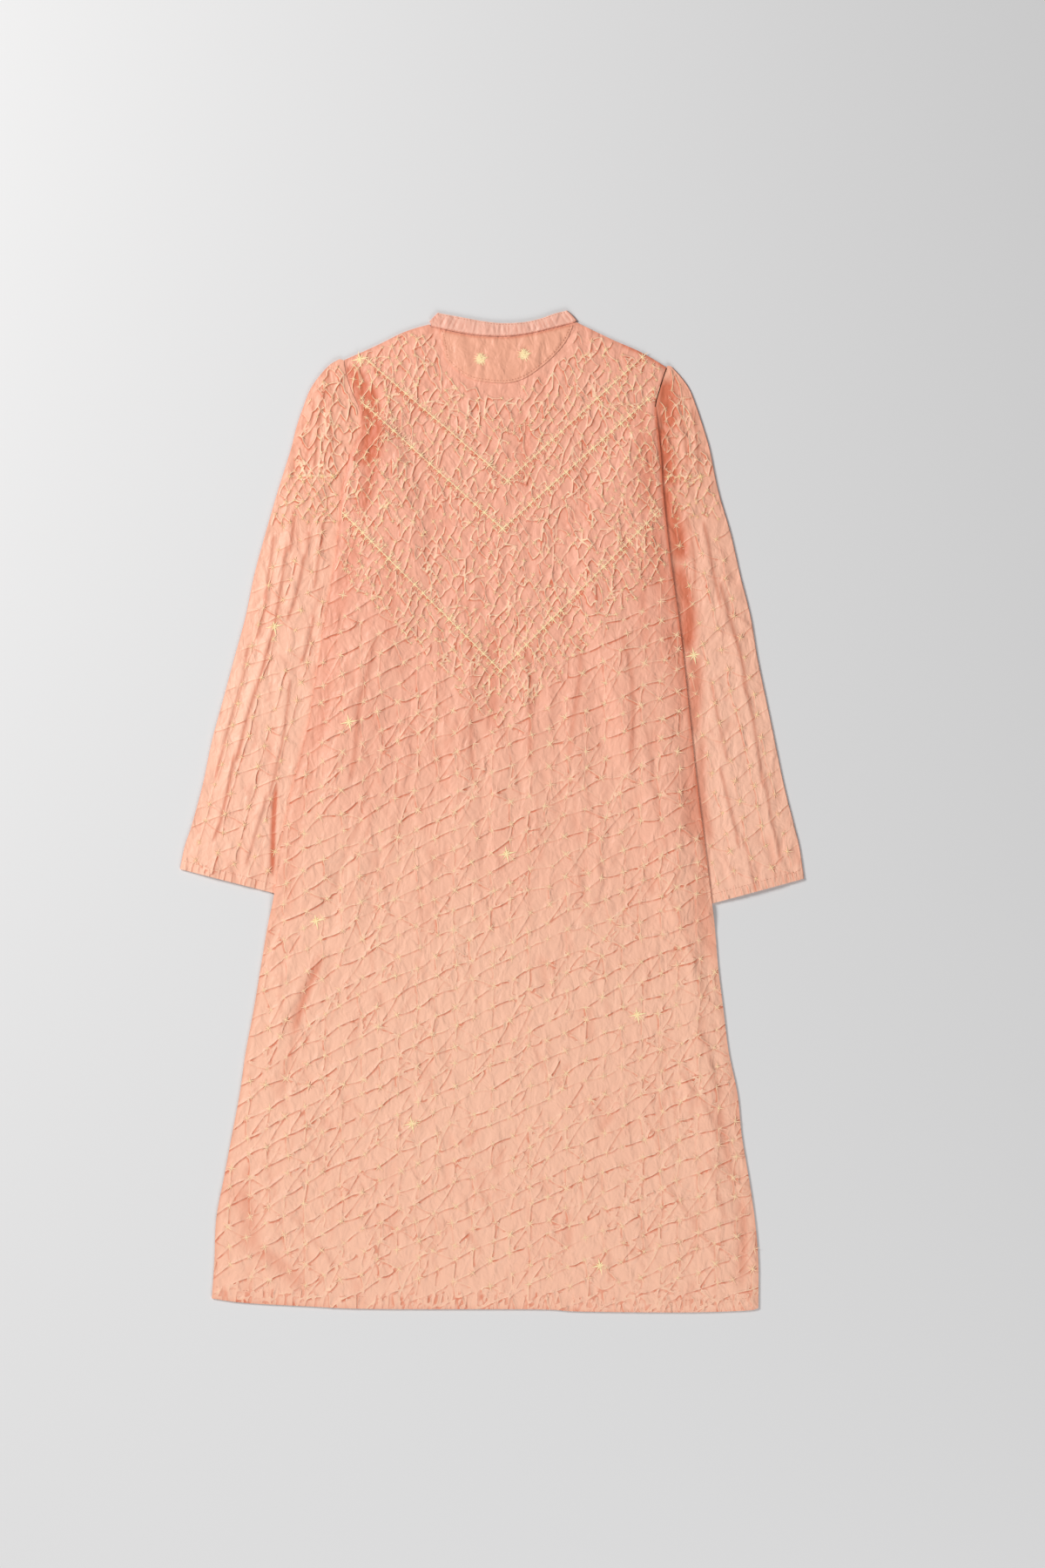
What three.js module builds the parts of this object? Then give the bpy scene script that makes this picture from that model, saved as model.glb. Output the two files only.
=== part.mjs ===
// A bandhani dress laid flat on its front, so that its back shows.
// Frame: millimetres, x across the dress, y up its length, z up from the surface it rests on.
// The hem is at -y and the neck at +y; the origin is under the middle of the garment.
// Layers from the surface up: sleeve undersides, sleeve tops, front panel, back panel, neck patch.

import * as THREE from 'three';

// Driving dimensions, in millimetres
const WALL = 1.1; // thickness of one layer of cloth
const SEAM_GAP = 0.3; // between neighbouring pieces
const LAYER_GAP = 0.4; // between a sleeve and the panel that lies on it
const TUCK_MARGIN = 8; // how far a panel stays up past the edge of the sleeve under it
const TUCK_RAMP = 30; // how far it then takes to come down
const BODY_PUFF = 1.5; // air between the two panels, away from the seams
const SLEEVE_PUFF = 1.6; // air inside a sleeve where nothing lies on it
const PUFF_REACH = 38; // how far from a seam the cloth takes to rise
const EDGE_STEP = 13; // spacing of the points along an edge
const INSET = 13; // distance from an edge to the first row of plain points
const PLAIN_STEP = 16; // finest spacing of the plain points
const SLEEVE_PLAIN_STEP = 34;
const HALF_WIDTH = 400; // half the width and length of the field that any net of points covers
const HALF_LENGTH = 900;
const KEEP_CLEAR = 7.5; // least distance from a tie to an edge

// Ties: the small knots that leave raised points and creases in the cloth
const TIE_COLUMN = 21.5; // between columns of ties on the skirt
const TIE_ROW = 22.5; // between rows
const TIE_SLOPE = 0.48; // rise of a line of ties for each millimetre to the right
const TIE_BEND = 0.0002; // how much that rise eases off towards the right
const TIE_RAISE = 1.3; // height of a tie on the skirt and sleeves
const YOKE_STEP = 15.5; // spacing of the dense ties on the yoke
const YOKE_SLOPE = 0.5;
const YOKE_RAISE = 1.4;
const LINE_STEP = 14; // spacing along the V lines
const LINE_LENGTH = 290; // the longest arm of a V line
const LINE_RAISE = 1.8;
const TIE_JITTER = 2.2; // how far a tie strays from its place
const TIE_SPACING = 8; // least distance between the ties of two patterns
const HOLLOW_RAISE = 0.1; // height of the cloth between the ties

// Hem band, collar, neck opening and patch
const HEM_BAND = 14;
const HEM_RAISE = 0.6;
const HEM_PUCKER = 0.5;
const COLLAR_RISE = 16;
const COLLAR_CROWN = 0.4; // how far the middle of the band stands above its edges
const COLLAR_STEPS = 12; // along each half of the front neck
const FRONT_NECK_DROP = 92; // from the neck points down to the centre front
const SLIT_LENGTH = 180;
const SLIT_WIDTH = 1.6;
const PATCH_WALL = 1;
const PATCH_GAP = 0.4;
const PATCH_DOT_RAISE = 1.5;
const PATCH_DOT_RADIUS = 6;

const COLOURS = { body: 0xeeb096, sleeve: 0xf2bea2, collar: 0xf0b9a0, patch: 0xe8a68a };
const ROUGHNESS = 0.55;

// Side edges of both panels, from the hem up to the end of the shoulder.
// Above y 436 the edge is the armhole.
const BODY_EDGES = [
  { y: -560, left: -322, right: 306 },
  { y: -516, left: -319, right: 306 },
  { y: -468, left: -317, right: 302 },
  { y: -420, left: -308, right: 295 },
  { y: -372, left: -299, right: 287 },
  { y: -324, left: -290, right: 282 },
  { y: -276, left: -283, right: 272 },
  { y: -228, left: -274, right: 266 },
  { y: -180, left: -266, right: 260 },
  { y: -132, left: -258, right: 256 },
  { y: -93, left: -250, right: 251 },
  { y: -35, left: -242, right: 244 },
  { y: 27, left: -229, right: 236 },
  { y: 90, left: -213, right: 229 },
  { y: 175, left: -199, right: 220 },
  { y: 232, left: -190, right: 213 },
  { y: 282, left: -181, right: 206 },
  { y: 332, left: -175, right: 200 },
  { y: 372, left: -171, right: 196 },
  { y: 407, left: -163, right: 194 },
  { y: 436, left: -149, right: 191 },
  { y: 464, left: -153, right: 189 },
  { y: 485, left: -162, right: 194 },
  { y: 505, left: -168, right: 201 },
];
const ARMHOLE_START = 436;

// Points along the other edges, left to right
const HEM = [
  { x: -322, y: -559 }, { x: -285, y: -564 }, { x: -213, y: -568 }, { x: -141, y: -571 },
  { x: 51, y: -571.5 }, { x: 99, y: -574 }, { x: 219, y: -575 }, { x: 291, y: -573 }, { x: 306, y: -570 },
];
const LEFT_SHOULDER = [
  { x: -170, y: 519 }, { x: -133, y: 535.5 }, { x: -100, y: 551.5 }, { x: -72, y: 560 },
];
const NECK_SEAM = [
  { x: -70, y: 557 }, { x: -34, y: 549.5 }, { x: -9, y: 546.5 }, { x: 17, y: 546 }, { x: 42, y: 549 },
  { x: 68, y: 555 }, { x: 94, y: 561.5 },
];
const RIGHT_SHOULDER = [
  { x: 97, y: 562.5 }, { x: 136, y: 543.5 }, { x: 172, y: 527.5 }, { x: 203, y: 509 },
];
const COLLAR_TOP = [
  { x: -61, y: 573 }, { x: -34, y: 568 }, { x: -9, y: 563.5 }, { x: 12, y: 561.5 }, { x: 36, y: 562.5 },
  { x: 55, y: 566.5 }, { x: 72, y: 572.5 }, { x: 85, y: 575.5 },
];
const COLLAR_ENDS = { left: { x: -71, y: 562.5 }, right: { x: 96.5, y: 564 } };
const PATCH_EDGE = [
  { x: -60, y: 554 }, { x: -56, y: 537 }, { x: -51, y: 517 }, { x: -28, y: 499 }, { x: -9, y: 494 },
  { x: 17, y: 492.5 }, { x: 37, y: 498 }, { x: 55, y: 510 }, { x: 71, y: 524 }, { x: 85, y: 541 },
  { x: 93, y: 559 },
];
const PATCH_DOTS = [{ x: -13, y: 520 }, { x: 37, y: 525 }];

// Sleeve outer folds, from the shoulder to the cuff
const SLEEVE_FOLDS = [
  { y: 512, left: -187, right: 205 },
  { y: 488, left: -206, right: 224 },
  { y: 464, left: -216, right: 234 },
  { y: 440, left: -224, right: 242 },
  { y: 416, left: -230, right: 249 },
  { y: 368, left: -245, right: 259 },
  { y: 320, left: -259, right: 273 },
  { y: 272, left: -272, right: 284 },
  { y: 224, left: -282, right: 296 },
  { y: 176, left: -295, right: 304 },
  { y: 128, left: -308, right: 314 },
  { y: 80, left: -321, right: 324 },
  { y: 32, left: -331, right: 334 },
  { y: -16, left: -344, right: 346 },
  { y: -40, left: -352, right: 352 },
];
const FOLD_STARTS = { left: { x: -175, y: 520 }, right: { x: 206, y: 508 } };
const CUFF_TIPS = { left: { x: -357.5, y: -66 }, right: { x: 357.5, y: -77 } };

// Sleeve underarm edges, hidden beneath the panels, from the armhole to the cuff
const TUCKED_EDGES = [
  { y: 410, left: -128, right: 172 },
  { y: 370, left: -115, right: 147 },
  { y: 330, left: -104, right: 127 },
  { y: 290, left: -102, right: 121 },
  { y: 250, left: -109, right: 124 },
  { y: 200, left: -124, right: 137 },
  { y: 150, left: -140, right: 151 },
  { y: 100, left: -155, right: 163 },
  { y: 50, left: -170, right: 177 },
  { y: 0, left: -184, right: 190 },
  { y: -50, left: -202, right: 204 },
];
const CUFF_CORNERS = { left: { x: -221, y: -101 }, right: { x: 221, y: -114 } };
const SLEEVE_LEAN = { left: -0.268, right: 0.226 }; // sideways for each millimetre down the sleeve
const SLEEVE_LINE_Y = 385; // the line of close ties across each sleeve
const SLEEVE_DENSE_Y = 330; // the close ties end here

// The three V lines of the yoke: their lowest point and how steeply each arm rises
const V_LINES = [
  { x: 18, y: 380, left: 0.86, right: 0.92 },
  { x: 12, y: 325, left: 0.9, right: 0.89 },
  { x: 10, y: 162, left: 1.0, right: 1.01 },
];
const YOKE_DEPTH = 75; // the dense ties go on this far below the last V line

// Soft folds of the back: a line from x, y to toX, toY, raised by height over halfWidth each side
const FOLDS = [
  { x: -42, y: 150, toX: -30, toY: -90, halfWidth: 24, height: 1.7 },
  { x: 9, y: 118, toX: 4, toY: -60, halfWidth: 20, height: 1.4 },
  { x: 52, y: 125, toX: 50, toY: -50, halfWidth: 20, height: 1.3 },
  { x: 100, y: 165, toX: 98, toY: 0, halfWidth: 22, height: 1.5 },
  { x: 140, y: 210, toX: 152, toY: -30, halfWidth: 20, height: 1.3 },
  { x: -120, y: 110, toX: -172, toY: -170, halfWidth: 26, height: 1.6 },
  { x: -152, y: 215, toX: -190, toY: 20, halfWidth: 22, height: 1.3 },
  { x: 196, y: 130, toX: 226, toY: -90, halfWidth: 22, height: 1.5 },
  { x: 222, y: -130, toX: 262, toY: -470, halfWidth: 26, height: 1.4 },
  { x: -215, y: -320, toX: -262, toY: -520, halfWidth: 28, height: 1.6 },
  { x: -130, y: 470, toX: -126, toY: 405, halfWidth: 20, height: 1.4 },
];

function smooth(from, to, value) {
  const share = THREE.MathUtils.clamp((value - from) / (to - from), 0, 1);
  return share * share * (3 - 2 * share);
}

// A repeatable number from -1 to 1 for a pair of whole numbers
function scatter(i, j) {
  const wave = Math.sin(i * 127.1 + j * 311.7) * 43758.5453;
  return 2 * (wave - Math.floor(wave)) - 1;
}

function length(a, b) {
  return Math.hypot(b.x - a.x, b.y - a.y);
}

// A smooth curve through the points, cut into steps of about the given length
function curve(points, step = EDGE_STEP) {
  const line = new THREE.SplineCurve(points.map((p) => new THREE.Vector2(p.x, p.y)));
  const parts = Math.max(1, Math.round(line.getLength() / step));
  return line.getSpacedPoints(parts).map((p) => ({ x: p.x, y: p.y }));
}

function distanceToSegment(p, a, b) {
  const along = (p.x - a.x) * (b.x - a.x) + (p.y - a.y) * (b.y - a.y);
  const share = THREE.MathUtils.clamp(along / (length(a, b) ** 2 || 1), 0, 1);
  return Math.hypot(p.x - a.x - share * (b.x - a.x), p.y - a.y - share * (b.y - a.y));
}

function distanceToLine(p, line) {
  let least = Infinity;
  for (let i = 1; i < line.length; i++) least = Math.min(least, distanceToSegment(p, line[i - 1], line[i]));
  return least;
}

function isInside(p, loop) {
  let inside = false;
  for (let i = 0, j = loop.length - 1; i < loop.length; j = i++) {
    const a = loop[i];
    const b = loop[j];
    const crosses = a.y > p.y !== b.y > p.y;
    if (crosses && p.x < ((b.x - a.x) * (p.y - a.y)) / (b.y - a.y) + a.x) inside = !inside;
  }
  return inside;
}

function closed(loop) {
  return [...loop, loop[0]];
}

// Moves a line sideways: a positive distance goes to the left of its direction
function offset(line, distance) {
  return line.map((p, i) => {
    const before = line[Math.max(i - 1, 0)];
    const after = line[Math.min(i + 1, line.length - 1)];
    const span = length(before, after);
    return {
      x: p.x - ((after.y - before.y) / span) * distance,
      y: p.y + ((after.x - before.x) / span) * distance,
    };
  });
}

// Triangulation of scattered points, each triangle's circle holding no other point.
// The points are squeezed along the lines of ties first, so that edges run along the creases.
function triangulate(points, loop, squeeze) {
  const direction = Math.atan(TIE_SLOPE);
  const flat = points.map((p) => {
    const along = (p.x * Math.cos(direction) + p.y * Math.sin(direction)) * squeeze;
    const across = p.y * Math.cos(direction) - p.x * Math.sin(direction);
    return { x: along, y: across };
  });
  const far = 1e5;
  const count = flat.length;
  flat.push({ x: -far, y: -far }, { x: far, y: -far }, { x: 0, y: far });

  function circled(a, b, c) {
    const [p, q, r] = [flat[a], flat[b], flat[c]];
    const twice = 2 * (p.x * (q.y - r.y) + q.x * (r.y - p.y) + r.x * (p.y - q.y));
    const [pp, qq, rr] = [p, q, r].map((s) => s.x * s.x + s.y * s.y);
    const x = (pp * (q.y - r.y) + qq * (r.y - p.y) + rr * (p.y - q.y)) / twice;
    const y = (pp * (r.x - q.x) + qq * (p.x - r.x) + rr * (q.x - p.x)) / twice;
    return { corners: twice > 0 ? [a, b, c] : [a, c, b], x, y, radius: Math.hypot(p.x - x, p.y - y) };
  }

  const order = [...Array(count).keys()].sort((a, b) => flat[a].x - flat[b].x);
  let open = [circled(count, count + 1, count + 2)];
  const done = [];
  for (const index of order) {
    const p = flat[index];
    const sides = new Map();
    open = open.filter((triangle) => {
      if (p.x - triangle.x > triangle.radius) {
        done.push(triangle);
        return false;
      }
      if (Math.hypot(p.x - triangle.x, p.y - triangle.y) >= triangle.radius) return true;
      const [a, b, c] = triangle.corners;
      for (const [from, to] of [[a, b], [b, c], [c, a]]) {
        if (!sides.delete(`${to},${from}`)) sides.set(`${from},${to}`, [from, to]);
      }
      return false;
    });
    for (const [from, to] of sides.values()) open.push(circled(from, to, index));
  }
  return [...done, ...open]
    .map((triangle) => triangle.corners)
    .filter((corners) => corners.every((index) => index < count))
    .filter(([a, b, c]) => {
      const x = (points[a].x + points[b].x + points[c].x) / 3;
      const y = (points[a].y + points[b].y + points[c].y) / 3;
      return isInside({ x, y }, loop);
    });
}

// Collects points and triangles into one closed mesh
class Shell {
  constructor() {
    this.places = [];
    this.triangles = [];
  }

  add(points, height) {
    const first = this.places.length;
    for (const p of points) this.places.push([p.x, p.y, height(p)]);
    return first;
  }

  // One skin of cloth over a loop and the points inside it; returns the first index
  skin(loop, inner, height, facesUp, squeeze = 1) {
    const points = [...loop, ...inner];
    const first = this.add(points, height);
    for (const [a, b, c] of triangulate(points, loop, squeeze)) {
      this.face(first + a, first + (facesUp ? b : c), first + (facesUp ? c : b));
    }
    return first;
  }

  face(a, b, c) {
    this.triangles.push([a, b, c]);
  }

  // A strip between point i and j of an upper row and of a lower row
  strip(upper, lower, i, j) {
    this.face(upper + i, lower + i, lower + j);
    this.face(upper + i, lower + j, upper + j);
  }

  mesh(name, colour) {
    const geometry = new THREE.BufferGeometry();
    geometry.setAttribute('position', new THREE.Float32BufferAttribute(this.places.flat(), 3));
    geometry.setIndex(this.triangles.flat());
    geometry.computeVertexNormals();
    const material = new THREE.MeshStandardMaterial({ color: colour, roughness: ROUGHNESS, metalness: 0 });
    const mesh = new THREE.Mesh(geometry, material);
    mesh.name = name;
    return mesh;
  }
}

// Edges shared by the pieces, worked out once
const SIDES = ['left', 'right'];
const sideEdge = {};
const armhole = {};
const foldEdge = {};
const tuckedEdge = {};
const shoulders = { left: curve(LEFT_SHOULDER), right: curve(RIGHT_SHOULDER) };
const neckSeam = curve(NECK_SEAM, 9);
const hem = curve(HEM, HEM_BAND * 0.75);

function column(rows, side) {
  return rows.map((row) => ({ x: row[side], y: row.y }));
}

for (const side of SIDES) {
  const hemCorner = side === 'left' ? HEM[0] : HEM[HEM.length - 1];
  const shoulderEnd = side === 'left' ? LEFT_SHOULDER[0] : RIGHT_SHOULDER[RIGHT_SHOULDER.length - 1];
  const rows = column(BODY_EDGES, side);
  const start = rows.findIndex((p) => p.y === ARMHOLE_START);
  const lower = curve([hemCorner, ...rows.slice(1, start + 1)]);
  armhole[side] = curve([...rows.slice(start), shoulderEnd], 10);
  sideEdge[side] = [...lower.slice(0, -1), ...armhole[side]];
  foldEdge[side] = curve([FOLD_STARTS[side], ...column(SLEEVE_FOLDS, side), CUFF_TIPS[side]]);
  tuckedEdge[side] = curve([armhole[side][0], ...column(TUCKED_EDGES, side), CUFF_CORNERS[side]]);
}

// Loops run anticlockwise seen from above
const backLoop = [
  ...hem.slice(0, -1),
  ...sideEdge.right,
  ...shoulders.right.toReversed().slice(1),
  ...neckSeam.toReversed(),
  ...shoulders.left.toReversed(),
  ...sideEdge.left.toReversed().slice(1, -1),
];
const backEdge = closed(backLoop);

// The part of each sleeve that lies under the panels, reaching well past their side
const tuckedArea = {};
for (const side of SIDES) {
  const out = side === 'left' ? -1 : 1;
  const farX = out * (HALF_WIDTH + 2 * TUCK_RAMP);
  const beyond = [CUFF_TIPS[side], { x: farX, y: CUFF_TIPS[side].y }, { x: farX, y: ARMHOLE_START }];
  tuckedArea[side] = [...tuckedEdge[side], ...beyond];
}

// Distance from the nearer sleeve under the panels, negative over the sleeve
function sleeveDistance(p) {
  const distances = SIDES.map((side) => {
    const area = tuckedArea[side];
    return distanceToLine(p, closed(area)) * (isInside(p, area) ? -1 : 1);
  });
  return Math.min(...distances);
}

// How much of the height of the sleeve a panel has at a point, from 0 to 1
function overSleeve(p) {
  return 1 - smooth(TUCK_MARGIN, TUCK_MARGIN + TUCK_RAMP, sleeveDistance(p));
}

function foldHeight(p) {
  let height = 0;
  for (const fold of FOLDS) {
    const start = { x: fold.x, y: fold.y };
    const end = { x: fold.toX, y: fold.toY };
    const reach = (p.x - start.x) * (end.x - start.x) + (p.y - start.y) * (end.y - start.y);
    const along = reach / length(start, end) ** 2;
    const ends = smooth(-0.05, 0.25, along) * smooth(1.05, 0.75, along);
    const across = distanceToSegment(p, start, end);
    height += fold.height * ends * smooth(fold.halfWidth, 0, across);
  }
  return height;
}

// Heights of the layers
const SLEEVE_TOP = 2 * WALL + SEAM_GAP; // top of a sleeve pressed flat
const PANEL_LIFT = SLEEVE_TOP + LAYER_GAP;

function frontBottom(p) {
  return PANEL_LIFT * overSleeve(p);
}

function frontTop(p) {
  return frontBottom(p) + WALL;
}

function backBottom(p) {
  const rise = smooth(0, PUFF_REACH, distanceToLine(p, backEdge));
  return frontTop(p) + SEAM_GAP + rise * (BODY_PUFF + foldHeight(p));
}

function backTop(p) {
  return backBottom(p) + WALL + (p.raise ?? 0);
}

// The plain points of a panel: a row inside its edge, then an even field, closer where asked
function plainPoints(loop, isFine) {
  const edge = closed(loop);
  const row = [];
  for (const p of offset(edge, INSET).slice(0, -1)) {
    const clearOfEdge = isInside(p, loop) && distanceToLine(p, edge) > INSET * 0.8;
    if (clearOfEdge && row.every((q) => length(p, q) > INSET * 0.7)) row.push(p);
  }
  const field = [];
  const columns = Math.ceil(HALF_WIDTH / PLAIN_STEP);
  const rows = Math.ceil(HALF_LENGTH / PLAIN_STEP);
  for (let i = -columns; i <= columns; i++) {
    for (let j = -rows; j <= rows; j++) {
      const p = { x: (i + 0.08 * scatter(i, j)) * PLAIN_STEP, y: (j + 0.08 * scatter(j, i)) * PLAIN_STEP };
      const isCoarse = i % 3 === 0 && j % 3 === 0;
      if (!isInside(p, loop) || !(isCoarse || isFine(p, i, j))) continue;
      const isClear = distanceToLine(p, edge) > INSET * 1.9 && row.every((q) => length(p, q) > INSET * 0.8);
      if (isClear) field.push(p);
    }
  }
  return [...row, ...field];
}

function isNearRamp(p) {
  const distance = sleeveDistance(p);
  return distance > -PLAIN_STEP * 0.7 && distance < TUCK_MARGIN + TUCK_RAMP;
}

// Ties of the yoke: the V lines, then a dense net between and below them
function yokeBottom(x) {
  const line = V_LINES[V_LINES.length - 1];
  return line.y - YOKE_DEPTH + Math.abs(x - line.x) * (x < line.x ? line.left : line.right);
}

function lineTies() {
  const ties = [];
  for (const line of V_LINES) {
    for (const side of SIDES) {
      const turn = side === 'left' ? -1 : 1;
      const stretch = Math.hypot(1, line[side]);
      for (let k = side === 'left' ? 1 : 0; k * LINE_STEP < LINE_LENGTH; k++) {
        const across = (k * LINE_STEP) / stretch;
        ties.push({ x: line.x + turn * across, y: line.y + across * line[side], raise: LINE_RAISE });
      }
    }
  }
  return ties;
}

function netPoints(columnStep, rowStep, rise, raise, accepts) {
  const points = [];
  const columns = Math.ceil(HALF_WIDTH / columnStep);
  for (let i = -columns; i <= columns; i++) {
    const x = i * columnStep;
    const lift = rise(x);
    const rows = Math.ceil(HALF_LENGTH / rowStep);
    for (let j = -rows; j <= rows; j++) {
      const y = j * rowStep + lift;
      const tie = { x: x + TIE_JITTER * scatter(i, j), y: y + TIE_JITTER * scatter(j, i), raise };
      const hollow = { x: x + columnStep / 2, y: (j - 0.5) * rowStep + (lift + rise(x + columnStep)) / 2 };
      for (const p of [tie, { ...hollow, raise: HOLLOW_RAISE }]) {
        if (accepts(p)) points.push(p);
      }
    }
  }
  return points;
}

function skirtRise(x) {
  return TIE_SLOPE * x - TIE_BEND * x * x;
}

function yokeRise(x) {
  return x * YOKE_SLOPE;
}

// Rows of points that make the turned hem: a puckered band above a stitched groove
function hemPoints() {
  const band = offset(hem, HEM_BAND * 0.55).slice(1, -1);
  const groove = offset(hem, HEM_BAND * 1.1).slice(1, -1);
  return [
    ...band.map((p, i) => ({ ...p, raise: HEM_RAISE + (i % 2) * HEM_PUCKER })),
    ...groove.map((p) => ({ ...p, raise: 0 })),
  ];
}

const patchEdge = curve(PATCH_EDGE, 11);
const patchTop = offset(neckSeam, -1.2).filter((p) => p.x > PATCH_EDGE[0].x + 6 && p.x < 88);
const patchLoop = [...patchEdge, ...patchTop.toReversed()];

const patchRim = offset(patchEdge, -1.2).slice(1, -1);
const patchField = [];
for (let i = -5; i <= 6; i++) {
  for (let j = 30; j <= 36; j++) {
    const p = { x: (i + 0.1 * scatter(i, j)) * PLAIN_STEP, y: (j + 0.1 * scatter(j, i)) * PLAIN_STEP };
    if (isInside(p, patchLoop) && distanceToLine(p, closed(patchLoop)) > KEEP_CLEAR) patchField.push(p);
  }
}

function isOnPatch(p) {
  return isInside(p, patchLoop) || distanceToLine(p, closed(patchLoop)) < KEEP_CLEAR;
}

// The two larger ties on the patch, each a knob with a ring of low points round it
function patchTies() {
  const ties = [];
  for (const dot of PATCH_DOTS) {
    ties.push({ ...dot, raise: PATCH_DOT_RAISE });
    for (let k = 0; k < 6; k++) {
      const angle = (k * Math.PI) / 3;
      const x = dot.x + PATCH_DOT_RADIUS * Math.cos(angle);
      ties.push({ x, y: dot.y + PATCH_DOT_RADIUS * Math.sin(angle), raise: PATCH_DOT_RAISE / 3 });
    }
  }
  return ties;
}

function backTies() {
  const accepted = [...hemPoints(), ...patchRim, ...patchField];
  const hemLine = offset(hem, HEM_BAND * 1.1);
  const isClear = (p) => {
    return isInside(p, backLoop) && !isOnPatch(p) && distanceToLine(p, backEdge) > KEEP_CLEAR
      && distanceToLine(p, hemLine) > KEEP_CLEAR && p.y > hemLine[0].y;
  };
  const besideAll = (p, others) => others.every((q) => length(p, q) > TIE_SPACING);
  for (const tie of lineTies()) if (isClear(tie) && besideAll(tie, accepted)) accepted.push(tie);
  const lines = [...accepted];
  const isDense = (p) => p.y > yokeBottom(p.x);
  accepted.push(...netPoints(YOKE_STEP, YOKE_STEP, yokeRise, YOKE_RAISE, (p) => {
    return isDense(p) && isClear(p) && besideAll(p, lines);
  }));
  const dense = [...accepted];
  accepted.push(...netPoints(TIE_COLUMN, TIE_ROW, skirtRise, TIE_RAISE, (p) => {
    return !isDense(p) && isClear(p) && besideAll(p, dense);
  }));
  return accepted;
}

// One panel or patch: an upper skin, a lower skin and the rim between them
function clothWall(name, colour, loop, upper, lower, top, bottom, squeeze) {
  const shell = new Shell();
  const above = shell.skin(loop, upper, top, true, squeeze);
  const below = shell.skin(loop, lower, bottom, false);
  for (let i = 0; i < loop.length; i++) shell.strip(above, below, i, (i + 1) % loop.length);
  return shell.mesh(name, colour);
}

function makeBackPanel() {
  const isFine = (p, i, j) => isNearRamp(p) || ((i + j) % 2 === 0 && foldHeight(p) > 0.15);
  const inside = plainPoints(backLoop, isFine);
  return clothWall('back_panel', COLOURS.body, backLoop, backTies(), inside, backTop, backBottom, 0.75);
}

// The front neck is a deeper curve than the back, with a slit down the centre front
function frontNeck() {
  const ends = { left: neckSeam[0], right: neckSeam[neckSeam.length - 1] };
  const middle = (ends.left.x + ends.right.x) / 2;
  const halfWidth = (ends.right.x - ends.left.x) / 2;
  const lowest = ends.left.y - FRONT_NECK_DROP;
  const half = (side) => {
    const turn = side === 'left' ? -1 : 1;
    const points = [];
    for (let k = 0; k <= COLLAR_STEPS; k++) {
      const angle = (k / COLLAR_STEPS) * (Math.PI / 2);
      const across = THREE.MathUtils.lerp(SLIT_WIDTH / 2, halfWidth, Math.cos(angle));
      const y = THREE.MathUtils.lerp(ends[side].y, lowest, Math.sin(angle));
      points.push({ x: middle + turn * across, y });
    }
    return points;
  };
  return { left: half('left'), right: half('right'), middle };
}

function makeFrontPanel() {
  const neck = frontNeck();
  const slitTop = neck.left[neck.left.length - 1].y;
  const slitParts = Math.round(SLIT_LENGTH / EDGE_STEP);
  const slitSide = (turn) => [...Array(slitParts).keys()].map((k) => {
    return { x: neck.middle + (turn * SLIT_WIDTH) / 2, y: slitTop - ((k + 1) * SLIT_LENGTH) / slitParts };
  });
  const loop = [
    ...hem.slice(0, -1),
    ...sideEdge.right,
    ...shoulders.right.toReversed().slice(1),
    ...neck.right,
    ...slitSide(1),
    ...slitSide(-1).toReversed(),
    ...neck.left.toReversed(),
    ...shoulders.left.toReversed(),
    ...sideEdge.left.toReversed().slice(1, -1),
  ];
  const inside = plainPoints(loop, isNearRamp);
  return clothWall('front_panel', COLOURS.body, loop, inside, inside, frontTop, frontBottom);
}

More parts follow.
